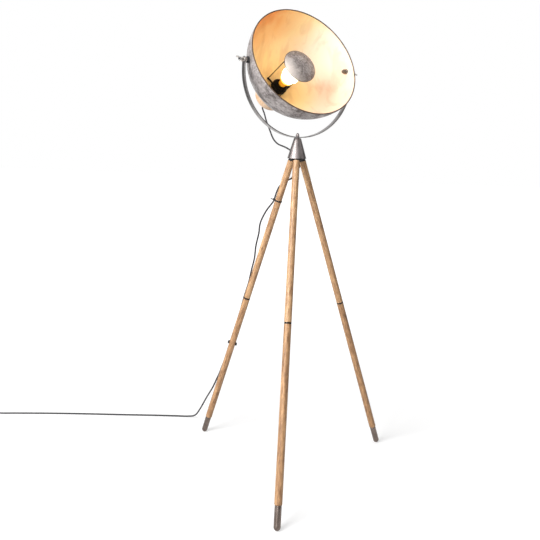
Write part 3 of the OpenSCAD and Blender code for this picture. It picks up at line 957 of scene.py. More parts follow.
def turn_profile(name: str, profile: Sequence[tuple[float, float]], steps: int = 96) -> bpy.types.Object:
    """Turn a profile round Z, as on a lathe.

    Args:
        name: The piece's name.
        profile: Radius and height of each point, in millimetres, from one end to the other.
        steps: Faces round the axis.

    Returns:
        The turned piece, round the world's Z axis.
    """
    pick_only()
    bpy.ops.mesh.primitive_plane_add(size=0.01, location=(0.0, 0.0, 0.0))
    piece = bpy.context.object
    piece.name = name
    bpy.ops.object.mode_set(mode="EDIT")
    bpy.ops.mesh.select_all(action="SELECT")
    bpy.ops.mesh.merge(type="CENTER")
    r, z = profile[0]
    bpy.ops.transform.translate(value=(r * MM, 0.0, z * MM))
    for (r0, z0), (r1, z1) in zip(profile, profile[1:]):
        bpy.ops.mesh.extrude_region_move(
            TRANSFORM_OT_translate={"value": ((r1 - r0) * MM, 0.0, (z1 - z0) * MM)}
        )
    bpy.ops.mesh.select_all(action="SELECT")
    bpy.ops.mesh.spin(steps=steps, angle=math.tau, center=(0.0, 0.0, 0.0), axis=(0.0, 0.0, 1.0))
    bpy.ops.mesh.select_all(action="SELECT")
    bpy.ops.mesh.remove_doubles(threshold=TURNED_MERGE)
    bpy.ops.mesh.normals_make_consistent(inside=False)
    bpy.ops.object.mode_set(mode="OBJECT")
    return piece


def put(piece: bpy.types.Object, place: Matrix) -> bpy.types.Object:
    """Move a piece to its place and write that place into its mesh.

    Args:
        piece: The piece.
        place: Where its own frame goes.

    Returns:
        The piece.
    """
    pick_only(piece)
    piece.matrix_world = place @ piece.matrix_world
    bpy.ops.object.transform_apply(location=True, rotation=True, scale=True)
    return piece


def smooth(piece: bpy.types.Object, degrees: float = 35.0) -> bpy.types.Object:
    """Shade a piece smooth.

    Args:
        piece: The piece.
        degrees: Edges that turn by more than this stay sharp.

    Returns:
        The piece.
    """
    pick_only(piece)
    bpy.ops.object.shade_smooth_by_angle(angle=math.radians(degrees))
    return piece


def dress(piece: bpy.types.Object, *materials: bpy.types.Material) -> bpy.types.Object:
    """Give a piece its materials.

    Args:
        piece: The piece.
        *materials: The materials, in the order of its slots.

    Returns:
        The piece.
    """
    piece.data.materials.clear()
    for material in materials:
        piece.data.materials.append(material)
    return piece


def dress_nodes(names: Iterable[str], material: bpy.types.Material) -> None:
    """Give CAD nodes that stay as they are one material.

    Args:
        names: The nodes.
        material: The material for all their slots.
    """
    for name in names:
        node = frame["nodes"][name]
        if not node.material_slots:
            node.data.materials.append(material)
        for slot in node.material_slots:
            slot.material = material


def close_up(piece: bpy.types.Object, place: Matrix) -> bpy.types.Object:
    """Put a turned piece in place and shade it smooth."""
    return smooth(put(piece, place), SHARP_ANGLE)


def copies(piece: bpy.types.Object, places: Sequence[Matrix]) -> bpy.types.Object:
    """Set a piece in several places, each with its own mesh, and join them.

    Args:
        piece: The piece, in its own frame.
        places: The frame of each copy.

    Returns:
        The joined piece.
    """
    made = [piece]
    for _ in places[1:]:
        twin = piece.copy()
        twin.data = piece.data.copy()
        bpy.context.scene.collection.objects.link(twin)
        made.append(twin)
    for item, place in zip(made, places):
        put(item, place)
    pick_only(*made)
    if len(made) > 1:
        bpy.ops.object.join()
    return smooth(piece, SHARP_ANGLE)


def ease_edges(piece: bpy.types.Object, width: float) -> bpy.types.Object:
    """Round the sharp edges of a piece.

    Args:
        piece: The piece, whose doubled points are merged first.
        width: Width of the rounding, in millimetres.

    Returns:
        The piece.
    """
    pick_only(piece)
    bpy.ops.object.mode_set(mode="EDIT")
    bpy.ops.mesh.select_all(action="SELECT")
    bpy.ops.mesh.remove_doubles(threshold=CARRIED_MERGE)
    bpy.ops.mesh.dissolve_limited(angle_limit=math.radians(FLAT_ANGLE))
    bpy.ops.mesh.normals_make_consistent(inside=False)
    bpy.ops.object.mode_set(mode="OBJECT")
    bevel = piece.modifiers.new("ease", "BEVEL")
    bevel.width = width * MM
    bevel.segments = 2
    bevel.limit_method = "ANGLE"
    bevel.angle_limit = math.radians(EASED_ANGLE)
    bpy.ops.object.modifier_apply(modifier="ease")
    return smooth(piece, SHARP_ANGLE)


# ---------------------------------------------------------------- cords


def smooth_route(points: Sequence[Point], steps: int) -> list[Point]:
    """Draw one smooth curve through the points of a route.

    Args:
        points: The points, in millimetres.
        steps: Steps between two points.

    Returns:
        The points of the curve, in metres.
    """
    p = [Vector(q) * MM for q in points]
    line = []
    for i in range(len(p) - 1):
        a, b, c, d = p[max(i - 1, 0)], p[i], p[i + 1], p[min(i + 2, len(p) - 1)]
        for j in range(steps):
            t = j / steps
            at = 0.5 * (
                2 * b + (c - a) * t + (2 * a - 5 * b + 4 * c - d) * t * t + (3 * b - a - 3 * c + d) * t**3
            )
            line.append(tuple(at))
    line.append(tuple(p[-1]))
    return line


def cord_tube(name: str, line: Sequence[Point], diameter: float, sides: int) -> bpy.types.Object:
    """Make the tube of a cord, with a UV map in metres along and round it.

    Args:
        name: The piece's name.
        line: The points of its centreline, in metres.
        diameter: Its diameter, in metres.
        sides: Faces round it.

    Returns:
        The tube, in place.
    """
    p = np.array(line, float)
    along = np.gradient(p, axis=0)
    along /= np.linalg.norm(along, axis=1)[:, None]
    side = np.cross(along[0], (0.0, 0.0, 1.0))
    if np.linalg.norm(side) < 0.1:
        side = np.cross(along[0], (1.0, 0.0, 0.0))
    rings, reach = [], [0.0]
    for i in range(len(p)):
        side = side - along[i] * (side @ along[i])
        side /= np.linalg.norm(side)
        over = np.cross(along[i], side)
        angles = np.arange(sides) * math.tau / sides
        rings.append(p[i] + diameter / 2 * (np.cos(angles)[:, None] * side + np.sin(angles)[:, None] * over))
        if i:
            reach.append(reach[-1] + float(np.linalg.norm(p[i] - p[i - 1])))
    points = np.concatenate(rings)
    faces, places = [], []
    girth = math.pi * diameter
    for i in range(len(p) - 1):
        for k in range(sides):
            n = (k + 1) % sides
            faces.append((i * sides + k, i * sides + n, (i + 1) * sides + n, (i + 1) * sides + k))
            v0, v1 = girth * k / sides, girth * (k + 1) / sides
            places += [(reach[i], v0), (reach[i], v1), (reach[i + 1], v1), (reach[i + 1], v0)]
    last = (len(p) - 1) * sides
    faces += [tuple(range(sides - 1, -1, -1)), tuple(range(last, last + sides))]
    places += [(0.0, 0.0)] * (2 * sides)
    mesh = bpy.data.meshes.new(name)
    mesh.from_pydata([tuple(q) for q in points], [], faces)
    layer = mesh.uv_layers.new(name="along_cord")
    for slot, uv in zip(layer.data, places):
        slot.uv = uv
    for face in mesh.polygons:
        face.use_smooth = len(face.vertices) == 4
    piece = bpy.data.objects.new(name, mesh)
    bpy.context.scene.collection.objects.link(piece)
    return piece


@dataclass
class MainsCord:
    """The cord, from the strain relief behind the yoke and the hub and down a leg to the switch and plug."""

    diameter: float = CORD_DIAMETER
    sides: int = 16
    floor_way: float = 185.4
    switch_place: tuple[float, float] = (-1162.0, 207.0)
    switch_length: float = 74.0
    gland_height: float = 8.0
    coil_in: float = 40.0
    coil_radius: float = 38.5
    coil_step: float = 6.0
    coil_turns: float = 5.5
    coil_rise: float = 6.0
    # the share of a turn in which the coil climbs to its upper layer, and the points in one turn
    coil_climb: float = 0.5
    coil_points: int = 24
    plug_height: float = 7.0
    plug_lead: float = 34.0
    grip_end: float = -252.01
    # the length of each stretch, in metres
    head_length: float = 0.16
    hub_length: float = 0.327
    leg_length: float = 1.70
    plug_length: float = 1.12

    def floor_point(self, x: float, z: float) -> Point:
        """Give a point on the line of the cord over the floor, x from the middle of the switch."""
        a = math.radians(self.floor_way)
        return (self.switch_place[0] + x * math.cos(a), self.switch_place[1] + x * math.sin(a), z)

    def head_route(self) -> list[Point]:
        """Give the points from the strain relief to the seam behind the yoke.

        Returns:
            The points, in millimetres.
        """
        return [
            head_point(0, 0, self.grip_end),
            head_point(0, 0, self.grip_end - 9),
            (-142, 202, 1178.5),
            (-134, 200, 1156.5),
            (-125, 182, 1132.5),
            (-113, 155, 1108.5),
            (-101, 132, 1084),
        ]

    def hub_route(self) -> list[Point]:
        """Give the points from the seam behind the yoke to the strap on the left leg.

        Returns:
            The points, in millimetres.
        """
        return [
            (-101, 132, 1084),
            (-90, 114, 1064),
            (-72, 95, 1047),
            (-46, 76, 1037),
            (-27, 66, 1027),
            (-1, 59, 1008),
            (9, 56, 991),
            (8.5, 53, 975),
            (-1, 50, 957),
            (-16, 47, 934),
            (-32, 44, 924),
            leg_point(Leg.LEFT, 103, -5, 14.5),
            leg_point(Leg.LEFT, 124, 3, 15),
            leg_point(Leg.LEFT, 147, 7, 12.9),
        ]

    def leg_route(self) -> list[Point]:
        """Give the points from the strap down the left leg and over the floor to the switch.

        Returns:
            The points, in millimetres.
        """
        down = [
            (147, 7, 12.9),
            (161, 7.5, 13.6),
            (200, 15, 24.5),
            (245, 18, 30),
            (282, 15, 25),
            (327, 13, 22),
            (372, 7.5, 16),
            (418, 4, 14.8),
            (466, -2.5, 14.4),
            (515, -3, 14.6),
            (560, -5, 13.7),
            (625, -10, 10.4),
            (693, -12.6, 7),
            (745, -9.2, 11.6),
            (790, -5, 14),
            (826, -3, 14.9),
            (856, -6, 20.5),
        ]
        low = self.diameter / 2
        floor = [
            (-285, 178, 159),
            (-314, 216, 104),
            (-340, 247, 52),
            (-363, 268, 16),
            (-392, 280, 4),
            (-440, 279, low),
            (-520, 273, low),
            (-650, 261, low),
            (-780, 250, low),
            (-910, 237, low),
            (-1030, 222, low),
            (-1092, 214, low),
            self.floor_point(-self.switch_length / 2 - 15, self.gland_height - 1),
            self.floor_point(-self.switch_length / 2, self.gland_height),
        ]
        return [leg_point(Leg.LEFT, *p) for p in down] + floor

    def coil_point(self, turn: float) -> Point:
        """Give a point of the coil, inwards on its lower layer and outwards on its upper one.

        Args:
            turn: Turns from the start of the coil.

        Returns:
            The point, in millimetres.
        """
        low = self.diameter / 2
        start = self.floor_point(self.switch_length / 2 + self.coil_in, low)
        way = math.radians(self.floor_way - 90)
        middle = (start[0] + self.coil_radius * math.cos(way), start[1] + self.coil_radius * math.sin(way))
        back = self.coil_turns / 2
        radius = self.coil_radius - self.coil_step * (turn if turn < back else self.coil_turns - turn)
        height = low + self.coil_rise * min(
            1.0, max(0.0, (turn - back + self.coil_climb / 2) / self.coil_climb)
        )
        a = math.radians(self.floor_way + 90 - 360 * turn)
        return (middle[0] + radius * math.cos(a), middle[1] + radius * math.sin(a), height)

    def plug_line(self) -> list[Point]:
        """Give the line from the switch through the coil to the plug.

        Returns:
            The points of the line, in metres.
        """
        half, low = self.switch_length / 2, self.diameter / 2
        ahead = [
            self.floor_point(half, self.gland_height),
            self.floor_point(half + self.diameter, self.gland_height),
            self.floor_point(half + 14, self.gland_height - 1.4),
            self.floor_point(half + 24, low + 1.4),
            self.floor_point(half + 33, low),
        ]
        count = round(self.coil_turns * self.coil_points)
        turns = [self.coil_point(i / self.coil_points) for i in range(count + 1)]
        end = turns[-1]
        a = math.radians(self.floor_way)
        after = [
            (end[0] - x * math.cos(a), end[1] - x * math.sin(a), z)
            for x, z in (
                (8, end[2]),
                (18, (end[2] + self.plug_height) / 2),
                (28, self.plug_height),
                (self.plug_lead, self.plug_height),
            )
        ]
        return smooth_route([*ahead, *turns, *after], 2)

    def build(self) -> list[bpy.types.Object]:
        """Returns:
            The stretches, from the head to the plug.
        """
        sheath = BraidedSheath().make()
        thick = self.diameter * MM
        head = smooth_route(self.head_route(), 6)
        hub = smooth_route(self.hub_route(), 6)
        leg = smooth_route(self.leg_route(), 8)
        plug = self.plug_line()
        lengths = [
            ("cord_to_yoke", head, self.head_length, "object", "hanging", []),
            ("cord_to_strap", hub, self.hub_length, "object", "hanging", []),
            ("cord_to_switch", leg, self.leg_length, "fitting", "loose", ["switch_base", "switch_cover"]),
            ("cord_to_plug", plug, self.plug_length, "plug", "coiled", ["plug_body", "plug_pins"]),
        ]
        made = []
        for name, line, length, end, lay, extra in lengths:
            piece = dress(cord_tube(name, line, thick, self.sides), sheath)
            made.append(piece)
        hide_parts("cord_head_stretch")
        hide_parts("cord_hub_stretch")
        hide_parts("cord_leg_stretch")
        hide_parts("cord_coil")
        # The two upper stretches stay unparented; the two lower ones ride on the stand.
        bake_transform(made[0])
        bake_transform(made[1])
        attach(made[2], Body.STAND.value)
        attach(made[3], Body.STAND.value)
        return made


# ---------------------------------------------------------------- head


@dataclass
class Shade:
    """Deep spun bowl: patinated outside, cream inside with the bulb's light painted on, with a rolled rim."""

    radius: float = 194.6
    depth: float = 205.0
    wall: float = 1.2
    power: float = 1.85
    lead: float = 38.3
    seat: float = 26.0
    hole: float = 5.3
    rim_radius: float = 195.0
    bead: float = 1.9
    steps: int = 128
    # steps of the profile from the rim to the pole, and the angle over which an edge stays sharp
    curve_steps: int = 40
    sharp: float = 50.0

    def skin(self, inset: float) -> list[tuple[float, float]]:
        """Give the bowl's profile from the rim to its flat seat.

        Args:
            inset: How far inside the outer skin.

        Returns:
            Radius and height of each point, in millimetres.
        """
        flat = self.seat_depth()
        points = []
        for i in range(self.curve_steps + 1):
            q = math.radians(90 * i / self.curve_steps)
            r = (self.radius - inset) * math.cos(q) ** (2 / self.power)
            s = (self.depth - inset) * math.sin(q) ** (2 / self.power)
            if r > self.seat:
                points.append((r, self.lead - min(s, flat - inset)))
        return points

    def seat_depth(self) -> float:
        """Give the depth of the flat seat at the pole, from the rim."""
        return self.depth * (1 - (self.seat / self.radius) ** self.power) ** (1 / self.power)

    def build(self) -> bpy.types.Object:
        """Turn the bowl with its rim and dress its two sides.

        Returns:
            The bowl.
        """
        pole = self.lead - self.seat_depth()
        middle = (self.rim_radius - self.bead, self.lead - self.bead + 0.4)
        bead = [
            (
                middle[0] + self.bead * math.cos(math.radians(a)),
                middle[1] + self.bead * math.sin(math.radians(a)),
            )
            for a in range(-75, 226, 25)
        ]
        outer = [p for p in self.skin(0.0) if p[1] < middle[1] - self.bead]
        inner = [p for p in self.skin(self.wall) if p[1] < middle[1] - self.bead]
        profile = [
            *bead[::-1],
            *outer,
            (self.seat, pole),
            (self.hole, pole),
            (self.hole, pole + self.wall),
            (self.seat, pole + self.wall),
            *inner[::-1],
            bead[-1],
        ]
        piece = turn_profile("shade_bowl", profile, self.steps)
        rim = MetalFinish("zinc_rim_rolled_darkened", "#6a5648", "#3c2c22", roughness=0.45, metallic=0.4)
        dress(
            piece,
            ZincPatina().make(head_matrix()),
            CreamLacquerPaintedGlow().make(head_matrix()),
            rim.make(head_matrix()),
        )
        for face in piece.data.polygons:
            if face.center.z > (middle[1] - self.bead * 1.2) * MM:
                face.material_index = 2
            elif face.center.normalized().dot(face.normal) < 0:
                face.material_index = 1
        put(piece, head_matrix())
        smooth(piece, self.sharp)
        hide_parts("shade")
        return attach(piece, Body.HEAD.value)


@dataclass
class Bulb:
    """Screw bulb with an opal globe."""

    radius: float = 30.0
    centre: float = -60.1
    neck: float = -121.05
    # the globe starts this many degrees behind its widest place, and over the last angle an edge stays sharp
    globe_start: float = 36.0
    globe_steps: int = 18
    sharp: float = 60.0

    def build(self) -> bpy.types.Object:
        """Turn the glass and dress it.

        Returns:
            The glass.
        """
        outer = [
            (13.2, self.neck),
            (13.5, self.neck + 5),
            (14.6, self.neck + 11),
            (17.2, self.neck + 19),
            (20.8, self.neck + 27),
            (24.2, self.neck + 35),
        ]
        for i in range(self.globe_steps + 1):
            q = math.radians(-self.globe_start + (90 + self.globe_start) * i / self.globe_steps)
            outer.append((max(0.0, self.radius * math.cos(q)), self.centre + self.radius * math.sin(q)))
        piece = turn_profile("bulb_globe", outer, 48)
        put(piece, head_matrix())
        smooth(piece, self.sharp)
        dress(piece, LitOpalGlass().make())
        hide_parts("bulb_glass")
        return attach(piece, Body.HEAD.value)


@dataclass
class LampHolder:
    """Moulded holder with grip rings and a threaded neck, open at the front for the bulb's screw shell."""

    base: float = -153.1
    radius: float = 28.0
    neck: float = 21.0
    height: float = 28.0
    bore: float = 13.6
    tube: float = 5.1

    def profile(self) -> list[tuple[float, float]]:
        """Give the closed profile, from the hole at its foot round the outside and back down the bore.

        Returns:
            Radius and height of each point, in millimetres.
        """
        z, r, n = self.base + 0.05, self.radius, self.neck
        ribs = []
        for i in range(3):
            low = z + 3.0 + 3.6 * i
            ribs += [(r, low), (r, low + 2.2), (r - 0.9, low + 2.6), (r - 0.9, low + 3.2)]
        thread = []
        for i in range(4):
            low = z + 19.4 + 1.9 * i
            thread += [(n, low), (n - 0.7, low + 0.95)]
        return [
            (self.tube, z),
            (r - 1.4, z),
            (r, z + 1.4),
            *ribs,
            (r, z + 14.0),
            (r - 0.8, z + 15.2),
            (n + 3.4, z + 18.0),
            (n + 3.0, z + 18.8),
            (n, z + 19.0),
            *thread,
            (n - 0.7, z + self.height - 0.8),
            (n - 1.5, z + self.height),
            (self.bore + 0.5, z + self.height),
            (self.bore, z + self.height - 0.6),
            (self.bore, z + 3.0),
            (self.tube, z + 3.0),
            (self.tube, z),
        ]

    def build(self, material: bpy.types.Material) -> bpy.types.Object:
        """Turn the holder and dress it.

        Args:
            material: Its material.

        Returns:
            The holder.
        """
        piece = turn_profile("lamp_holder_ribbed", self.profile(), 64)
        close_up(piece, head_matrix())
        dress(piece, material)
        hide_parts("lamp_holder")
        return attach(piece, Body.HEAD.value)


@dataclass
class ReliefSleeve:
    """Strain relief behind the cap: a collar, then a ribbed taper down to the cord."""

    front: float = -228.06
    back: float = -252.01
    collar: float = 10.0
    thick: float = 8.6
    thin: float = 4.1
    ribs: int = 5

    def profile(self) -> list[tuple[float, float]]:
        """Give the closed profile, outside first.

        Returns:
            Radius and height of each point, in millimetres.
        """
        hole = CORD_DIAMETER / 2 + 0.2
        outside = [
            (5.1, self.front),
            (self.collar - 0.6, self.front),
            (self.collar, self.front - 0.6),
            (self.collar, self.front - 6.2),
            (self.collar - 0.8, self.front - 7.0),
            (self.thick, self.front - 8.0),
        ]
        start, end = self.front - 9.0, self.back + 1.0
        step = (end - start) / self.ribs
        for i in range(self.ribs):
            for share, drop in ((0.0, 0.0), (0.45, 0.0), (0.6, 1.0), (0.85, 1.0)):
                z = start + step * (i + share)
                along = (z - start) / (end - start)
                outside.append((self.thick + (self.thin - self.thick) * along - drop * (1 - 0.4 * along), z))
        return [
            *outside,
            (self.thin, self.back + 0.8),
            (self.thin - 0.4, self.back),
            (hole, self.back),
            (hole, self.front - 11.0),
            (5.1, self.front - 11.0),
            (5.1, self.front),
        ]

    def build(self, material: bpy.types.Material) -> bpy.types.Object:
        """Turn the sleeve and dress it.

        Args:
            material: Its material.

        Returns:
            The sleeve.
        """
        piece = turn_profile("cord_grip_ribbed", self.profile(), 48)
        close_up(piece, head_matrix())
        dress(piece, material)
        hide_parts("cord_grip")
        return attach(piece, Body.HEAD.value)


@dataclass
class ReflectorDish:
    """Small domed dish with a rolled edge, in front of the bulb."""

    radius: float = 58.5
    dome: float = 16.0
    edge: float = -1.0
    sheet: float = 1.0
    roll: float = 1.1
    steps: int = 20

    def build(self, face: bpy.types.Material, rim: bpy.types.Material) -> bpy.types.Object:
        """Turn the dish and dress its face and its rolled edge.

        Args:
            face: The material of the sheet.
            rim: The material of the rolled edge.

        Returns:
            The dish.
        """
        ball = (self.radius**2 + self.dome**2) / (2 * self.dome)
        middle = self.edge - (ball - self.dome)
        reach = math.asin((self.radius - self.roll) / ball)
        under = math.asin((self.radius - self.roll * 1.6) / (ball - self.sheet))
        front = [
            (ball * math.sin(reach * i / self.steps), middle + ball * math.cos(reach * i / self.steps))
            for i in range(self.steps + 1)
        ]
        inner = ball - self.sheet
        back = [
            (inner * math.sin(under * i / self.steps), middle + inner * math.cos(under * i / self.steps))
            for i in range(self.steps, -1, -1)
        ]
        hub = (self.radius - self.roll + 0.2, self.edge - self.roll + 0.9)
        bead = [
            (hub[0] + self.roll * math.cos(math.radians(a)), hub[1] + self.roll * math.sin(math.radians(a)))
            for a in range(90, -181, -30)
        ]
        piece = turn_profile("dish_rolled_edge", [*front, *bead, *back], 96)
        dress(piece, face, rim)
        for polygon in piece.data.polygons:
            if polygon.center.xy.length > (self.radius - self.roll * 1.4) * MM:
                polygon.material_index = 1
        close_up(piece, head_matrix())
        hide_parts("reflector_dish")
        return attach(piece, Body.HEAD.value)


# ---------------------------------------------------------------- legs


@dataclass
class LegFittings:
    """Metal of the legs: the rings in the joints and the foot sleeves."""

    length: float = 1046.1
    joint_share: float = 0.494
    ring_height: float = 5.0
    ring_bore: float = 4.08
    foot_radius: float = 10.0
    foot_height: float = 52.0
    tenon_radius: float = 8.6
    tenon_length: float = 44.0

    def rings(self, material: bpy.types.Material) -> bpy.types.Object:
        """Turn one ring with its two beads and set it in the joint of each leg.

        Args:
            material: Its material.

        Returns:
            The three rings, joined.
        """
        low = -self.length * self.joint_share - self.ring_height / 2
        r, h = LEG_RADIUS + 0.2, self.ring_height
        profile = [
            (self.ring_bore, low),
            (r - 0.5, low),
            (r, low + 0.5),
            (r, low + h / 2 - 0.9),
            (r - 0.7, low + h / 2 - 0.3),
            (r - 0.7, low + h / 2 + 0.3),
            (r, low + h / 2 + 0.9),
            (r, low + h - 0.5),
            (r - 0.5, low + h),
            (self.ring_bore, low + h),
            (self.ring_bore, low),
        ]
        piece = copies(turn_profile("joint_rings_beaded", profile, 48), [leg_matrix(leg) for leg in Leg])
        dress(piece, material)
        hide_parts("leg_joint_rings")
        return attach(piece, Body.STAND.value)

    def foot(self, leg: Leg, material: bpy.types.Material) -> bpy.types.Object:
        """Turn one foot sleeve, round at its end and cut flat where it stands.

        Args:
            leg: The leg it is on.
            material: Its material.

        Returns:
            The sleeve.
        """
        end, r = -self.length, self.foot_radius
        top = end + self.foot_height
        ball = [(r * math.sin(math.radians(a)), end - r * math.cos(math.radians(a))) for a in range(0, 91, 9)]
        profile = [
            *ball,
            (r, top - 4.6),
            (r - 0.5, top - 4.2),
            (r - 0.5, top - 3.6),
            (r, top - 3.2),
            (r, top - 0.6),
            (r - 0.6, top),
            (self.tenon_radius + 0.1, top),
            (self.tenon_radius + 0.1, top - self.tenon_length - 0.5),
            (0.0, top - self.tenon_length - 0.5),
        ]
        piece = turn_profile(f"foot_sleeve_{leg.name.lower()}", profile, 48)
        put(piece, leg_matrix(leg))
        pick_only(piece)
        bpy.ops.object.mode_set(mode="EDIT")
        bpy.ops.mesh.select_all(action="SELECT")
        bpy.ops.mesh.bisect(
            plane_co=(0.0, 0.0, 0.0),
            plane_no=(0.0, 0.0, 1.0),
            use_fill=True,
            clear_inner=True,
            clear_outer=False,
        )
        bpy.ops.object.mode_set(mode="OBJECT")
        smooth(piece)
        dress(piece, material)
        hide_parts(f"foot_{leg.name.lower()}")
        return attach(piece, Body.STAND.value)


# ---------------------------------------------------------------- eased copies


@dataclass(frozen=True)
class Eased:
    """How a carried node is eased: the body it rides on, its slot and its rounding in millimetres."""

    body: Body
    slot: str
    width: float


EASED_NODES: dict[str, Eased] = {
    "hub_cone": Eased(Body.STAND, "satin_steel", 0.3),
    "hub_block": Eased(Body.STAND, "black_metal", 0.4),
    "dome_nut": Eased(Body.STAND, "polished_nickel", 0.35),
    "yoke_washers": Eased(Body.STAND, "polished_nickel", 0.2),
    "hub_lock_nut": Eased(Body.STAND, "plain_steel", 0.4),
    "leg_collars": Eased(Body.STAND, "black_metal", 0.3),
    "cable_tie": Eased(Body.STAND, "black_plastic", 0.35),
    "cable_clip": Eased(Body.STAND, "black_plastic", 0.6),
    "switch_base": Eased(Body.STAND, "black_plastic", 0.8),
    "switch_cover": Eased(Body.STAND, "black_plastic", 0.8),
    "plug_body": Eased(Body.STAND, "black_plastic", 1.0),
    "plug_pins": Eased(Body.STAND, "polished_nickel", 0.3),
    "yoke": Eased(Body.YOKE, "satin_steel", 0.4),
    "rear_cap": Eased(Body.HEAD, "cap_wood", 0.8),
    "tube_nuts": Eased(Body.HEAD, "polished_nickel", 0.4),
    "stay_plate": Eased(Body.HEAD, "black_metal", 0.3),
    "stay_rods": Eased(Body.HEAD, "black_metal", 0.3),
    "pivot_washers": Eased(Body.HEAD, "polished_nickel", 0.25),
    "pivot_pads": Eased(Body.HEAD, "black_rubber", 0.6),
    "wing_nut_left": Eased(Body.LEFT_WING, "polished_nickel", 0.6),
    "wing_nut_right": Eased(Body.RIGHT_WING, "polished_nickel", 0.6),
    "switch_button": Eased(Body.BUTTON, "black_plastic", 0.5),
}


def ease_node(name: str, how: Eased) -> bpy.types.Object:
    """Copy a carried node with its finish and round the copy's edges.

    Args:
        name: The node.
        how: Its body and the rounding.

    Returns:
        The copy, which stands for the node.
    """
    source = frame["nodes"][name]
    piece = bpy.data.objects.new(f"{name}_eased", source.data.copy())
    bpy.context.scene.collection.objects.link(piece)
    put(piece, source.matrix_world.copy())
    ease_edges(piece, how.width)
    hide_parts(name)
    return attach(piece, how.body.value)


@dataclass
class SwitchSpring:
    """Wire spring under the foot button: it shortens as the button goes down."""

    foot: float = 2.9
    top: float = 12.8
    stroke: float = 2.5

    def build(self) -> bpy.types.Object:
        """Copy the carried spring with its finish and give the copy a mesh of its own.

        Returns:
            The spring.
        """
        piece = ease_node("switch_spring", Eased(Body.STAND, "plain_steel", 0.02))
        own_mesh(piece)
        return piece


def pivot_nuts(inside: bpy.types.Material, outside: bpy.types.Material) -> bpy.types.Object:
    """Round the nuts of the pivots: dull ones inside the shade and bright ones outside it.

    Args:
        inside: The finish of the closed nuts in the shade.
        outside: The finish of the nuts between the shade and the yoke.

    Returns:
        The nuts.
    """
    piece = ease_node("pivot_nuts", Eased(Body.HEAD, "black_metal", 0.5))
    dress(piece, inside, outside)
    back = head_matrix().inverted()
    for polygon in piece.data.polygons:
        polygon.material_index = int(abs((back @ polygon.center).x) > OUTSIDE_NUTS)
    return piece


# ---------------------------------------------------------------- camera, floor and light


def seen_directly(tree: bpy.types.NodeTree) -> bpy.types.Node:
    """Add the sum of the camera, gloss and transmission rays.

    Args:
        tree: The node tree.

    Returns:
        The node that holds the sum, 1 at most.
    """
    path = add_node(tree, "ShaderNodeLightPath")
    both = add_node(
        tree,
        "ShaderNodeMath",
        {0: path.outputs["Is Camera Ray"], 1: path.outputs["Is Glossy Ray"]},
        operation="ADD",
    )
    return add_node(
        tree,
        "ShaderNodeMath",
        {0: both.outputs[0], 1: path.outputs["Is Transmission Ray"]},
        operation="ADD",
        use_clamp=True,
    )


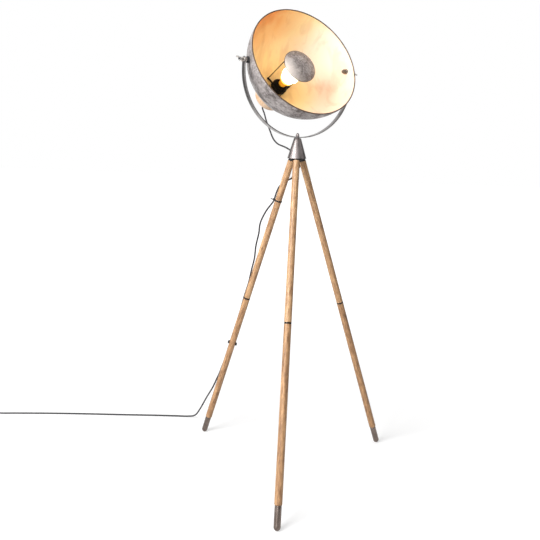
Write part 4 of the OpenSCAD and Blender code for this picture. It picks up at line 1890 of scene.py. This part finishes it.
@dataclass
class Studio:
    """Pale floor, soft lamps, white surroundings and the camera at the photograph's viewing angle."""

    floor_size: float = 40.0
    floor_height: float = -0.0004
    floor_grey: float = 0.6
    # how much the floor is lifted to white near the lamp and far from it, and where these are, in metres
    floor_lift: float = 0.52
    far_lift: float = 0.9
    near_floor: float = 0.5
    far_floor: float = 2.6
    # how bright the surroundings are below and above
    low_sky: float = 0.55
    high_sky: float = 0.37
    key: float = 180.0
    # the camera: its focal length and picture width in pixels, its shift, and its place and axes in metres
    focal_px: float = 595.188
    picture_px: float = 540.0
    sensor_mm: float = 36.0
    shift: tuple[float, float] = (-0.0435, -0.2189)
    eye: Point = (0.0998, -1.957, 1.0217)
    right: Point = (0.9978, 0.0568, 0.0351)
    up: Point = (-0.0351, -0.002, 0.9994)
    forward: Point = (-0.0568, 0.9984, 0.0)

    def floor(self) -> None:
        """Make the floor, white where the camera looks at it in the open and darker under the lamp."""
        pick_only()
        bpy.ops.mesh.primitive_plane_add(size=self.floor_size, location=(0.0, 0.0, self.floor_height))
        piece = bpy.context.object
        piece.name = "floor"
        material, tree, shader = start_material("studio_floor_paper")
        set_inputs(
            shader, {"Base Color": (self.floor_grey, self.floor_grey, self.floor_grey, 1.0), "Roughness": 0.9}
        )
        seen = seen_directly(tree)
        away = add_node(
            tree,
            "ShaderNodeVectorMath",
            {0: add_node(tree, "ShaderNodeTexCoord").outputs["Object"]},
            operation="LENGTH",
        )
        far = add_node(
            tree,
            "ShaderNodeMapRange",
            {
                "Value": away.outputs["Value"],
                "From Min": self.near_floor,
                "From Max": self.far_floor,
                "To Min": self.floor_lift,
                "To Max": self.far_lift,
            },
        )
        lift = add_node(tree, "ShaderNodeMath", {0: seen.outputs[0], 1: far.outputs[0]}, operation="MULTIPLY")
        set_inputs(shader, {"Emission Color": WHITE, "Emission Strength": lift.outputs[0]})
        dress(piece, material)

    def card(
        self, name: str, place: Point, size: tuple[float, float], shade: float, glow: float = 0.0
    ) -> None:
        """Stand a card that only glossy pieces see, dark or lit.

        Args:
            name: Its name.
            place: Where its middle is, in metres; it faces the lamp.
            size: Its width and height.
            shade: Its lightness, from 0 to 1.
            glow: How strongly it shines.
        """
        pick_only()
        aim = (Vector((0.0, 0.0, place[2])) - Vector(place)).to_track_quat("Z", "Y").to_euler()
        bpy.ops.mesh.primitive_plane_add(size=1.0, location=place, rotation=aim)
        piece = bpy.context.object
        piece.name = name
        piece.scale = (size[0], size[1], 1.0)
        bpy.ops.object.transform_apply(location=True, rotation=True, scale=True)
        material, _, shader = start_material(f"studio_{name}_felt")
        set_inputs(
            shader,
            {
                "Base Color": (shade, shade, shade, 1.0),
                "Roughness": 1.0,
                "Emission Color": WHITE,
                "Emission Strength": glow,
            },
        )
        dress(piece, material)
        piece.visible_camera = False
        piece.visible_diffuse = False
        piece.visible_shadow = False

    def surroundings(self) -> None:
        """Light from all sides, white where the camera, a gloss or a glass looks at it."""
        world = bpy.data.worlds.new("studio")
        bpy.context.scene.world = world
        world.use_nodes = True
        tree = world.node_tree
        tree.nodes.clear()
        seen = seen_directly(tree)
        up = add_node(
            tree,
            "ShaderNodeSeparateXYZ",
            {0: add_node(tree, "ShaderNodeTexCoord").outputs["Generated"]},
        )
        dome = add_node(
            tree,
            "ShaderNodeMapRange",
            {
                "Value": up.outputs["Z"],
                "From Min": -0.4,
                "From Max": 1.0,
                "To Min": self.low_sky,
                "To Max": self.high_sky,
            },
        )
        soft = add_node(tree, "ShaderNodeBackground", {"Strength": dome.outputs[0], "Color": WHITE})
        white = add_node(tree, "ShaderNodeBackground", {"Strength": 1.0, "Color": WHITE})
        mix = add_node(
            tree,
            "ShaderNodeMixShader",
            {0: seen.outputs[0], 1: soft.outputs[0], 2: white.outputs[0]},
        )
        add_node(tree, "ShaderNodeOutputWorld", {"Surface": mix.outputs[0]})

    def lamp(self, name: str, place: Point, aim: Point, size: tuple[float, float], power: float) -> None:
        """Hang one soft lamp.

        Args:
            name: Its name.
            place: Where it hangs, in metres.
            aim: What it points at.
            size: Width and height of its face.
            power: Its power, in watts.
        """
        light = bpy.data.lights.new(name, "AREA")
        light.shape = "RECTANGLE"
        light.size, light.size_y = size
        light.energy = power
        piece = bpy.data.objects.new(name, light)
        piece.location = place
        piece.rotation_euler = (Vector(aim) - Vector(place)).to_track_quat("-Z", "Y").to_euler()
        bpy.context.scene.collection.objects.link(piece)

    def camera(self) -> None:
        """Set the camera where the photograph was taken, with its shift and its slight roll."""
        data = bpy.data.cameras.new("photo_view")
        data.sensor_fit = "HORIZONTAL"
        data.sensor_width = self.sensor_mm
        data.lens = self.focal_px / self.picture_px * self.sensor_mm
        data.shift_x, data.shift_y = self.shift
        data.clip_start = 0.05
        piece = bpy.data.objects.new("photo_view", data)
        bpy.context.scene.collection.objects.link(piece)
        turned = Matrix((Vector(self.right), Vector(self.up), -Vector(self.forward))).transposed().to_4x4()
        piece.matrix_world = Matrix.Translation(self.eye) @ turned
        bpy.context.scene.camera = piece

    def build(self) -> None:
        """Set up the whole studio."""
        self.camera()
        self.floor()
        self.surroundings()
        self.lamp("key_lamp", (-2.3, -2.5, 2.5), (0, 0, 0.9), (2.2, 2.2), self.key)
        self.card("right_card", (1.25, -1.2, 0.95), (1.3, 2.2), 0.015)
        self.card("strip_card", (-0.62, -2.05, 0.95), (0.42, 1.9), 1.0, glow=3.0)
        self.card("side_card", (1.9, 0.4, 0.9), (1.0, 2.4), 0.1)
        self.card("back_card", (1.7, 1.5, 1.1), (1.2, 2.4), 0.03)
        self.card("left_card", (-1.9, 0.8, 0.9), (1.5, 2.4), 0.05)
        bpy.context.scene.view_settings.view_transform = "Standard"


# ---------------------------------------------------------------- carried-over nodes


class Finishing:
    """Finishes of every carried node, and the metal and plastic pieces that take theirs from here."""

    def build(self) -> list[bpy.types.Object]:
        """Give every node its material and build the pieces that share those materials.

        Returns:
            The pieces built here.
        """
        head = head_matrix()
        made = []
        steel = MetalFinish(
            "steel_strip_satin", "#aba8a7", "#858180", roughness=0.36, stretch=(6.0, 6.0, 1.0)
        )
        dress_nodes(["yoke"], steel.make(head))
        cone = MetalFinish(
            "steel_cone_satin_nickel", "#a09896", "#827a79", roughness=0.42, stretch=(1.0, 1.0, 10.0)
        )
        dress_nodes(["hub_cone", "dome_nut", "yoke_washers"], cone.make())
        plain = MetalFinish("steel_zinc_plated", "#b0b0b2", "#84848a", roughness=0.35)
        dress_nodes(
            ["centre_bolt", "hub_lock_nut", "leg_studs", "leg_joint_studs", "threaded_tube", "tube_nuts",
             "pivot_studs", "switch_spring", "plug_pins"],
            plain.make(),
        )
        black_nickel = MetalFinish(
            "nickel_plate_smoked", "#82766f", "#5c504a", roughness=0.2, spread=0.05, bump=0.02
        )
        fittings = LegFittings()
        for leg in Leg:
            made.append(fittings.foot(leg, black_nickel.make(leg_matrix(leg))))
        nickel = MetalFinish(
            "nickel_plate_polished", "#cfc9c4", "#aaa39d", roughness=0.14, spread=0.05, bump=0.02
        )
        dress_nodes(["wing_nut_left", "wing_nut_right", "pivot_washers"], nickel.make(head))
        dull = MetalFinish("nickel_plate_dulled", "#8d8379", "#4e453d", roughness=0.28, cloud_mm=9.0)
        made.append(pivot_nuts(dull.make(head), nickel.make(head)))
        brass = MetalFinish("brass_thread_rolled", "#c9b07a", "#8f7846", roughness=0.3)
        dress_nodes(["bulb_base"], brass.make(head))
        black = MouldedBlack("steel_black_powder_coated", "#1c1b1c", "#3a3838", roughness=0.5)
        dress_nodes(["leg_collars", "hub_block", "cable_clip"], black.make())
        wire = MouldedBlack("steel_wire_black_oxide", "#0d0906", "#1c1510", roughness=0.65, gloss=0.2)
        dress_nodes(["stay_plate", "stay_rods"], wire.make())
        rings = MetalFinish("steel_black_nickelled", "#4d4744", "#2b2725", roughness=0.16, spread=0.04)
        made.append(fittings.rings(rings.make()))
        plastic = MouldedBlack("phenolic_black_moulded", "#060606", "#19191a", roughness=0.4)
        dress_nodes(["switch_base", "switch_cover", "plug_body"], plastic.make())
        baked = MouldedBlack("phenolic_black_baked", "#050404", "#100e0d", roughness=0.6, gloss=0.15)
        made.append(LampHolder().build(baked.make()))
        rubber = MouldedBlack("rubber_black_moulded", "#1d1d1e", "#3a3a3b", roughness=0.7)
        dress_nodes(["pivot_pads", "cable_tie", "switch_button"], rubber.make())
        made.append(ReliefSleeve().build(rubber.make()))
        # the dish has a glow of the bulb's light painted along one side of its edge
        dish = ZincPatina(
            "zinc_dish_brushed_patinated", "#cdc4c0", "#a49a96", "#746a67", "#554d4a",
            blot_mm=5.0, brushed=0.25, metallic=0.8, painted_glow_mm=58.0,
        )
        edge = MetalFinish("zinc_edge_rolled_darkened", "#6a5d56", "#3d322c", roughness=0.45, metallic=0.4)
        made.append(ReflectorDish().build(dish.make(head), edge.make(head)))
        # the lower halves of the legs are a little darker than the upper ones
        leg_half_tones = {"upper": ("#dfb586", "#b58a63", "#705138"), "lower": ("#d3a577", "#a67c57", "#654730")}
        for i, leg in enumerate(Leg):
            for part, tones in leg_half_tones.items():
                name = f"{part}_leg_{leg.name.lower()}"
                wood = TurnedWood(f"mango_wood_turned_oiled_{name}", *tones, shift=(7.0 * i, 3.0 * i, 0.0))
                dress_nodes([name], wood.make(leg_matrix(leg)))
        pale = TurnedWood("pine_turned_bare", "#eccfb2", "#ddb894", "#c0946d", grain_mm=4.0, length_mm=40.0)
        dress_nodes(["rear_cap"], pale.make(head))
        made.append(SwitchSpring().build())
        return made + [ease_node(name, how) for name, how in EASED_NODES.items()]


def main() -> None:
    """Build the lamp around the frame, piece by piece, and report each one."""
    logging.basicConfig(level=logging.INFO, format="%(message)s")
    Studio().build()
    for piece in MainsCord().build():
        LOG.info("cord %s", piece.name)
    for maker in (Shade(), Bulb()):
        LOG.info("piece %s", maker.build().name)
    for piece in Finishing().build():
        LOG.info("piece %s", piece.name)


if __name__ == "__main__":
    main()
    bpy.context.view_layer.update()
